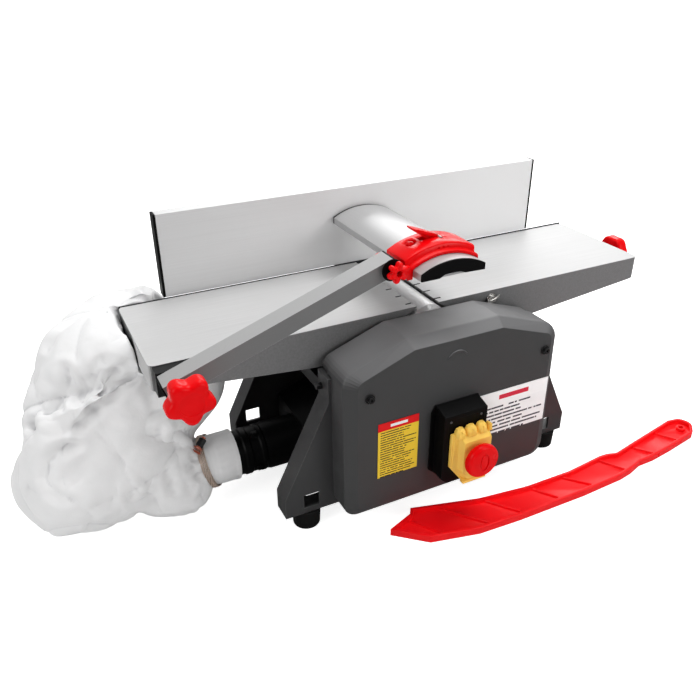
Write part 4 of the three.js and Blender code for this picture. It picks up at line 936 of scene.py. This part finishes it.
# Bag lobes: centre and radius. Creases: depth and width of a fold, then the points it runs through.
LOBES = ((-343, 62, 179, 95), (-411, 25, 77, 77), (-369, 93, 92, 59), (-286, 68, 146, 70),
         (-416, 38, 144, 67), (-328, 108, 208, 66), (-268, 40, 170, 44), (-443, -5, 42, 31))
THROAT = ((-322, 2, 52, 43), (-303, -12, 36, 33))
BRIDGE = ((-352, 16, 92, 62), (-318, 6, 62, 40))
CUFF_RADIUS = 32.6
CLOTH_THICKNESS = 4.0
SETTLE_FRAMES = 20
SETTLE_LIMIT = 12
CREASES = (
    (5.0, 6, (-407, 14, 217), (-420, 4, 195), (-437, 2, 175), (-453, 11, 161)),
    (4.5, 7, (-408, 15, 216), (-406, -9, 195), (-397, -21, 185), (-389, -29, 177), (-366, -33, 172),
     (-345, -31, 167)),
    (4.0, 5, (-362, -13, 218), (-377, -15, 208), (-385, -18, 198)),
    (3.5, 6, (-453, 11, 161), (-440, -12, 162), (-405, -29, 168), (-392, -29, 176)),
    (3.0, 6, (-452, 6, 160), (-439, -20, 154), (-412, -41, 144), (-388, -48, 127)),
    (6.5, 8, (-382, -35, 165), (-363, -40, 146), (-346, -35, 135), (-329, -26, 133)),
    (6.0, 7, (-418, -37, 148), (-438, -29, 145), (-451, -29, 134), (-457, -36, 120), (-457, -44, 105),
     (-447, -53, 94), (-425, -60, 89)),
    (3.5, 6, (-378, -48, 118), (-380, -51, 99), (-374, -45, 71)),
    (4.0, 6, (-325, -16, 89), (-328, -31, 73), (-326, -37, 57)),
    (3.0, 7, (-480, -20, 101), (-468, -37, 101), (-447, -53, 94)),
    (3.5, 9, (-415, 50, 240), (-385, 64, 255), (-348, 64, 265)),
    (3.0, 8, (-363, 23, 253), (-355, 11, 247), (-362, 3, 239), (-372, 2, 234)),
    (4.5, 7, (-350, -29, 179), (-345, -32, 165), (-353, -36, 152), (-382, -35, 165)),
    (4.0, 6, (-300, 6, 110), (-300, -6, 90), (-295, -30, 73), (-287, -34, 53)),
    (3.5, 6, (-424, -57, 105), (-420, -60, 82)),
    (3.5, 9, (-430, 50, 245), (-417, 47, 222), (-440, 40, 200)),
)


def hull_mesh(name, balls, ring=()):
    """Skin stretched round balls and extra points."""
    made = bmesh.new()
    for x, y, z, r in balls:
        at = Matrix.Translation(world((x, y, z)))
        bmesh.ops.create_icosphere(made, subdivisions=4, radius=r * MM, matrix=at)
    for p in ring:
        made.verts.new(world(p))
    result = bmesh.ops.convex_hull(made, input=made.verts)
    bmesh.ops.delete(made, geom=[v for v in made.verts if not v.link_faces], context="VERTS")
    spare = {g for key in ("geom_interior", "geom_unused", "geom_holes") for g in result[key]
             if isinstance(g, bmesh.types.BMVert) and g.is_valid}
    bmesh.ops.delete(made, geom=list(spare), context="VERTS")
    mesh = bpy.data.meshes.new(name)
    made.to_mesh(mesh)
    made.free()
    return in_scene(name, mesh)


def bag_solid(clamp_x):
    """Lobes, throat and bridge in one skin, carved clear of the table end and remeshed evenly."""
    body = hull_mesh("bag_body", [(x, y, z, r - CLOTH_THICKNESS) for x, y, z, r in LOBES])
    collar = [(x, y, z) for x, r in ((clamp_x - 7, CUFF_RADIUS), (clamp_x - 15, CUFF_RADIUS + 1.5))
              for y, z in circle(DUCT, r, 48)]
    boolean(body, hull_mesh("bag_throat", THROAT, collar), "UNION")
    boolean(body, hull_mesh("bag_bridge", BRIDGE), "UNION")
    table_low, table_high = box("outfeed_table")
    end, top = table_low[0] + 8, table_high[2] + 120
    past_end = [(end, 202), (end, table_high[2] - 16), (end - 30, top), (end + 200, top), (end + 200, 202)]
    boolean(body, prism(past_end, -110, table_high[1] + 5))
    boolean(body, block(-290, -180, 68, 104, 202, 400))
    remesh = body.modifiers.new("remesh", "REMESH")
    remesh.mode, remesh.voxel_size = "VOXEL", 4.2 * MM
    soften = body.modifiers.new("soften", "SMOOTH")
    soften.factor, soften.iterations = 0.5, 8
    return bake(body)


def build_bag():
    clamp_x = box("hose_clamp")[0][0]
    body = bag_solid(clamp_x)
    settle_cloth(body, clamp_x - 20)
    finer = body.modifiers.new("finer", "SUBSURF")
    finer.levels = finer.render_levels = 1
    bake(body)
    body.name = "bag_cloth"
    crease_cloth(body, clamp_x - 6)
    keep_clear(body)
    finish(body, "cloth", "base", ["dust_bag"], 180)


def build_cuff():
    """Gathered cloth under the clamp, with a rolled hem."""
    clamp_low, clamp_high = box("hose_clamp")
    hem, count, last = -236.0, 144, 25
    rings = []
    for k, x in enumerate(np.linspace(clamp_low[0] - 10, hem, last + 1)):
        pinch = 1.0 if clamp_low[0] < x < clamp_high[0] else 0.0
        rolled = 0.5 if k >= last - 2 else 0.0
        ring = []
        for angle in (TAU * i / count for i in range(count)):
            ripple = 0.5 * math.sin(angle * 11 + 3 * math.sin(angle * 2))
            ripple += 0.35 * math.sin(angle * 23 + k / last * 3)
            r = CUFF_RADIUS - 0.5 + (1 - pinch) * (0.35 * ripple + 0.5) + rolled
            ring.append((x, DUCT[0] + r * math.cos(angle), DUCT[1] + r * math.sin(angle)))
        rings.append(ring)
    bore = lathe([[29.8, clamp_low[0] - 20], [29.8, hem + 10]], DUCT, axis="x", segments=count)
    piece("bag_cuff", loft(rings), "cloth", "base", cuts=[bore], angle=50)


def settle_cloth(body, held_from):
    """Lets the cloth fill out and slacken a little, then keeps each point near where it began."""
    mesh = body.data
    start = np.array([v.co for v in mesh.vertices], float)
    held = body.vertex_groups.new(name="held")
    for i, point in enumerate(start):
        grip = clamp01((local(point).x - held_from) / 8)
        if grip > 0:
            held.add([i], grip, "REPLACE")
    cloth = body.modifiers.new("cloth", "CLOTH")
    values = {"quality": 6, "mass": 0.15, "tension_stiffness": 12, "compression_stiffness": 12,
              "shear_stiffness": 4, "bending_stiffness": 0.2, "tension_damping": 6, "use_pressure": True,
              "uniform_pressure_force": 0.6, "shrink_min": -0.12, "vertex_group_mass": "held"}
    for key, value in values.items():
        setattr(cloth.settings, key, value)
    cloth.settings.effector_weights.gravity = 0.0
    cloth.point_cache.frame_start, cloth.point_cache.frame_end = 1, SETTLE_FRAMES
    scene = bpy.context.scene
    for step in range(1, SETTLE_FRAMES + 1):
        scene.frame_set(step)
    moved = body.evaluated_get(bpy.context.evaluated_depsgraph_get())
    travel = np.array([v.co for v in moved.data.vertices], float) - start
    body.modifiers.clear()
    scene.frame_set(1)
    length = np.linalg.norm(travel, axis=1, keepdims=True)
    travel *= np.minimum(1, SETTLE_LIMIT * MM / np.maximum(length, 1e-9))
    mesh.vertices.foreach_set("co", (start + travel).astype(np.float32).ravel())
    mesh.update()


def near_line(points, line):
    """Distance from every point to a line of short straight runs."""
    best = np.full(len(points), 1e9)
    for a, b in zip(line[:-1], line[1:]):
        a, b = np.array(a, float), np.array(b, float)
        run = b - a
        t = np.clip((points - a) @ run / (run @ run), 0, 1)
        best = np.minimum(best, np.linalg.norm(points - a - t[:, None] * run, axis=1))
    return best


def unit(vector):
    return vector / np.linalg.norm(vector)


def crease_cloth(body, collar_x):
    """Soft bulges between sharp creases over the whole bag, the main folds, and gathers at the collar."""
    mesh = body.data
    count = len(mesh.vertices)
    at = np.zeros(count * 3, np.float32)
    mesh.vertices.foreach_get("co", at)
    at = at.reshape(-1, 3).astype(float)
    facing = np.array([n.vector for n in mesh.vertex_normals], float)
    points = (at - np.array(ORIGIN)) / MM
    rng = np.random.default_rng(11)
    rise = np.zeros(count)
    for run, depth, width in ((170, 3.4, 5), (150, 3.2, 5), (130, 3.0, 4.5), (115, 2.8, 4), (105, 2.6, 4),
                              (95, 2.2, 3.6), (85, 1.8, 3.4), (75, 1.4, 3.2)):
        lean, sway = rng.normal(size=3), rng.normal(size=3)
        lean, sway = unit(lean), unit(sway)
        bend = run * 0.16 * np.sin(points @ sway / (run * 0.5) + rng.uniform(0, TAU))
        phase = (points @ lean + bend) / run + rng.uniform(0, 1)
        gap = np.abs((phase + 0.5) % 1 - 0.5) * run
        patch = np.clip(0.5 + 0.9 * np.sin(points @ sway / (run * 0.55) + rng.uniform(0, TAU)), 0, 1)
        rise += patch * depth * (0.35 * gap / run - np.exp(-(gap / width) ** 1.2))
    for _ in range(3):
        lean = unit(rng.normal(size=3))
        rise += 2.0 * np.sin(points @ lean / 24 + rng.uniform(0, TAU))
    for depth, width, *line in CREASES:
        gap = near_line(points, line)
        rise -= depth * np.exp(-(gap / width) ** 1.3)
        rise += depth * 0.45 * np.exp(-((gap - width * 1.9) / width) ** 2)
    to_collar = collar_x - points[:, 0]
    turn = np.arctan2(points[:, 2] - DUCT[1], points[:, 1] - DUCT[0])
    gather = 1.5 * np.abs(np.sin(turn * 6.5 + 0.6 * np.sin(turn * 3))) - 0.8
    near = np.exp(-(np.clip(to_collar, 0, None) / 32) ** 2)
    gather = gather * near * np.clip((to_collar - 1) / 8, 0, 1) * 1.6
    rise = rise * np.clip((to_collar - 4) / 26, 0, 1) + gather
    at += facing * (rise * MM)[:, None]
    mesh.vertices.foreach_set("co", at.astype(np.float32).ravel())
    mesh.update()


def keep_clear(obj):
    """Pushes bag points out of the floor and the table, with the space over its end widening upwards."""
    low, high = box("outfeed_table")
    side, under, floor = high[1] + 3, 205, 0.4
    for v in obj.data.vertices:
        x, y, z = local(v.co)
        z = max(z, floor)
        end = low[0] - 1.5 - 0.3 * max(0, z - 238)
        if x > end and y < side and z > under:
            gaps = (x - end, side - y, z - under)
            if gaps[2] == min(gaps):
                z = under
            elif gaps[0] == min(gaps):
                x = end
            else:
                y = side
        v.co = world((x, y, z))
    obj.data.update()


# --- push stick
STICK = [(-99, -173), (-62, -206, 6), (0, -220.5, 20), (60, -223.5, 40), (162, -224, 40), (229, -221, 14),
         (250, -217.5, 8), (273, -210.5, 14), (300, -210, 20), (337, -205, 30), (393, -195.5, 12),
         (410, -178, 12), (403, -161, 12), (383, -158, 10), (292, -175.5, 20), (257, -182.5, 8),
         (243, -178, 8), (230, -177.6, 10), (171, -184, 40), (99, -183.5, 40), (29, -174.6, 30),
         (-58, -151), (-64, -160)]
RIBS = ((-68, -169, -45, -202), (-25, -162, 15, -212), (33, -174, 62, -212), (101, -181, 123, -213),
        (155, -185, 179, -213), (225, -179, 245, -212), (291, -181, 310, -206), (346, -170, 363, -197))


def inset_outline(points, distance):
    """Outline moved inwards by a distance."""
    moved = []
    count = len(points)
    for i in range(count):
        here, before, after = (Vector(points[k % count]) for k in (i, i - 1, i + 1))
        into, away = (here - before), (after - here)
        if into.length < 1e-6 or away.length < 1e-6:
            into = away if into.length < 1e-6 else into
            away = into
        into, away = into.normalized(), away.normalized()
        n1, n2 = Vector((-into.y, into.x)), Vector((-away.y, away.x))
        moved.append(tuple(here + (n1 + n2) * (distance / max(0.35, 1 + n1.dot(n2)))))
    return moved


def build_stick():
    """Push stick: a shallow tray with slanting ribs and an eye at its thin end."""
    low, high = box("push_stick")
    bottom, top, floor = low[2], high[2], 4.2
    outline = fillet(STICK, 4)
    clean = [p for i, p in enumerate(outline) if (Vector(p) - Vector(outline[i - 1])).length > 0.05]

    def layer(points, z):
        return [(u, v, z) for u, v in points]

    stick = raw_object("push_stick_body", loft([layer(clean, bottom), layer(clean, top)]))
    boolean(stick, loft([layer(inset_outline(clean, 4.0), floor), layer(inset_outline(clean, 3.6), top + 2)]))
    for x0, y0, x1, y1 in RIBS:
        a, b = Vector((x0, y0)), Vector((x1, y1))
        along = (b - a).normalized()
        a, b = a - along * 1, b + along * 4
        side = Vector((-along.y, along.x))
        foot, head = [[tuple(p) for p in (a - side * half, b - side * half, b + side * half, a + side * half)]
                      for half in (1.3, 0.8)]
        boolean(stick, loft([layer(foot, floor - 1), layer(head, 7.4)]), "UNION")
    eye = (389.0, -177.5)
    boolean(stick, lathe([[6.5, floor - 1], [6.5, 8.4]], eye, axis="z", segments=40), "UNION")
    boolean(stick, lathe([[3.6, bottom - 2], [3.6, top + 2]], eye, axis="z", segments=40))
    bake(edges(stick, 0.55, 2, 32))
    finish(stick, "red_matt", "stick", ["push_stick"])


# --- fasteners
def hex_bolt(name, centre, seat, tip, size, body, replaces=()):
    """Hexagon head on a washer, from its seat to its tip."""
    side = 1 if tip > seat else -1
    profile = [[size, seat + side * 0.8], [size, tip - side * 0.7], [size * 0.86, tip]]
    head = lathe(profile, centre, segments=6)
    washer = lathe(rounded(size * 1.35, seat, seat + side * 1.2, 0.3), centre, segments=36)
    piece(name, merged(head, washer), "zinc", body, replaces, angle=30)


def build_painted_shadow_strips():
    """Dark strips along the rear edges of both tables, under the fence: a painted shadow line."""
    level = box("outfeed_table")[1][2]
    for node, inset in (("outfeed_table", -1.3), ("infeed_table", 0.15)):
        low, high = box(node)
        strip = block(low[0] + 1, high[0] - 1, high[1] + inset, high[1] + 1.9, level - 6, level + 0.35)
        piece(node.split("_")[0] + "_rear_shadow_strip", strip, "black", "base", bevel=0.3)


def build_fasteners():
    low, high = box("pointer_bolt")
    centre = face_centre("pointer_bolt")
    hex_bolt("pointer_screw", centre, high[1], low[1] + 1.4, 5.2, "infeed", ["pointer_bolt"])
    wings = [(-8.6, 3.4), (-4, 1.2), (4, 3.0), (8.8, 7.0), (9.4, 3.2), (4.4, -1.4), (-4, -3.2), (-8.8, -1.2)]
    wing = prism([(centre[0] + u, centre[1] + v - 1) for u, v in wings], low[1] - 0.6, low[1] + 2.4)
    piece("pointer_wing", wing, "zinc", "infeed", bevel=0.8, segments=3)
    rail_face = box("fence_rail")[0][1] + 6
    for i, (x, z) in enumerate(((-28, 170), (28, 170), (-28, 215), (28, 215))):
        hex_bolt(f"rail_screw_{i}", (x, z), rail_face, rail_face + 5, 5, "base")
    low, high = box("fence_bracket")
    face = low[1] + 4.9
    for i, x in enumerate((-48, 48, 0)):
        hex_bolt(f"bracket_screw_{i}", (x, high[2] - 12), face, face + 4.4, 4.4, "fence_body")


# --- stage
SKY = 0.62
SKY_TOWARDS = (0.25, 0.55, 0.8)
FLOOR_GLOW = 0.8
FLOOR_SIZE = 40000
# Lights: place and aim in metres, width, height, power.
LIGHTS = {
    "top_box": ((0.5, 0.1, 2.3), (0.05, 0, 0.2), 1.8, 1.4, 34),
    "left_box": ((-2.2, -0.7, 1.3), (0, 0, 0.15), 1.0, 1.0, 16),
    "front_box": ((1.3, -2.1, 1.1), (0, 0, 0.15), 1.2, 0.8, 16),
    "back_box": ((1.9, 2.7, 1.7), (0.1, 0, 0.25), 2.4, 1.2, 34),
}


def build_floor():
    """Pale floor that glows for the camera, so that it stays white, and looks darker in reflections."""
    ground = raw_object("studio_floor", block(-FLOOR_SIZE, FLOOR_SIZE, -FLOOR_SIZE, FLOOR_SIZE, -20, -0.2))
    g = new_graph("studio_floor")
    g.finish(color=g.mix(g.ramp(g.noise(3.0), 0.3, 0.7), (0.86,) * 3, (0.88,) * 3), rough=0.9, gleam=0.0)
    paths = g.node("ShaderNodeLightPath")
    g.link((1, 1, 1), g.shader.inputs["Emission Color"])
    glow = g.math("MULTIPLY", paths.outputs["Is Camera Ray"], FLOOR_GLOW)
    g.link(glow, g.shader.inputs["Emission Strength"])
    dark = g.node("ShaderNodeBsdfDiffuse")
    g.link((0.3,) * 3, dark.inputs["Color"])
    g.choose(paths.outputs["Is Glossy Ray"], g.shader.outputs[0], dark.outputs[0], "Material Output")
    ground.data.materials.append(g.owner)


def build_sky():
    """Soft light that fades from one side to the other, behind a white background."""
    sky = bpy.data.worlds.new("studio")
    bpy.context.scene.world = sky
    g = Graph(sky, "Background")
    towards = tuple(Vector(SKY_TOWARDS).normalized())
    fade = g.node("ShaderNodeValToRGB")
    g.link(g.dot(g.node("ShaderNodeTexCoord").outputs["Generated"], towards), fade.inputs["Fac"])
    for stop, spot, tone in zip(fade.color_ramp.elements, (0.0, 0.9), (0.3, 1.0)):
        stop.position, stop.color = spot, (tone, tone, tone, 1)
    g.link(fade.outputs["Color"], g.shader.inputs["Color"])
    g.shader.inputs["Strength"].default_value = SKY
    seen = g.node("ShaderNodeBackground")
    g.link((1, 1, 1), seen.inputs["Color"])
    paths = g.node("ShaderNodeLightPath")
    g.choose(paths.outputs["Is Camera Ray"], g.shader.outputs[0], seen.outputs[0], "World Output")


def build_lights():
    for name, (at, target, wide, tall, power) in LIGHTS.items():
        data = bpy.data.lights.new(name, "AREA")
        data.shape, data.size, data.size_y, data.energy = "RECTANGLE", wide, tall, power
        lamp = in_scene(name, data)
        lamp.location = at
        lamp.rotation_euler = (Vector(target) - Vector(at)).to_track_quat("-Z", "Y").to_euler()


# Camera: place from ORIGIN; heading from square on to the front, towards the infeed end; angles in degrees.
CAMERA_PLACE = (-437.69, -745.18, 621.97)
CAMERA_HEADING = 26.4832
CAMERA_PITCH = -28.7499
CAMERA_ROLL = -0.2963


def build_camera():
    data = bpy.data.cameras.new("photo_view")
    data.sensor_width, data.lens = 36.0, 37.14
    data.clip_start, data.clip_end = 0.01, 50
    camera = in_scene("photo_view", data)
    heading, pitch, roll = (math.radians(a) for a in (-CAMERA_HEADING, 90 + CAMERA_PITCH, CAMERA_ROLL))
    turn = Matrix.Rotation(heading, 4, "Z") @ Matrix.Rotation(pitch, 4, "X") @ Matrix.Rotation(roll, 4, "Z")
    camera.matrix_world = Matrix.Translation(world(CAMERA_PLACE)) @ turn
    bpy.context.scene.camera = camera


dress_cad_nodes()
build_cover()
build_switch()
build_lid()
build_stop()
build_knobs()
build_saddle()
build_guard_cap()
build_chute()
build_clamp()
build_bag()
build_cuff()
build_stick()
build_fasteners()
build_painted_shadow_strips()
build_floor()
build_sky()
build_lights()
build_camera()
bpy.context.scene.view_settings.view_transform = "Standard"

bpy.context.view_layer.update()
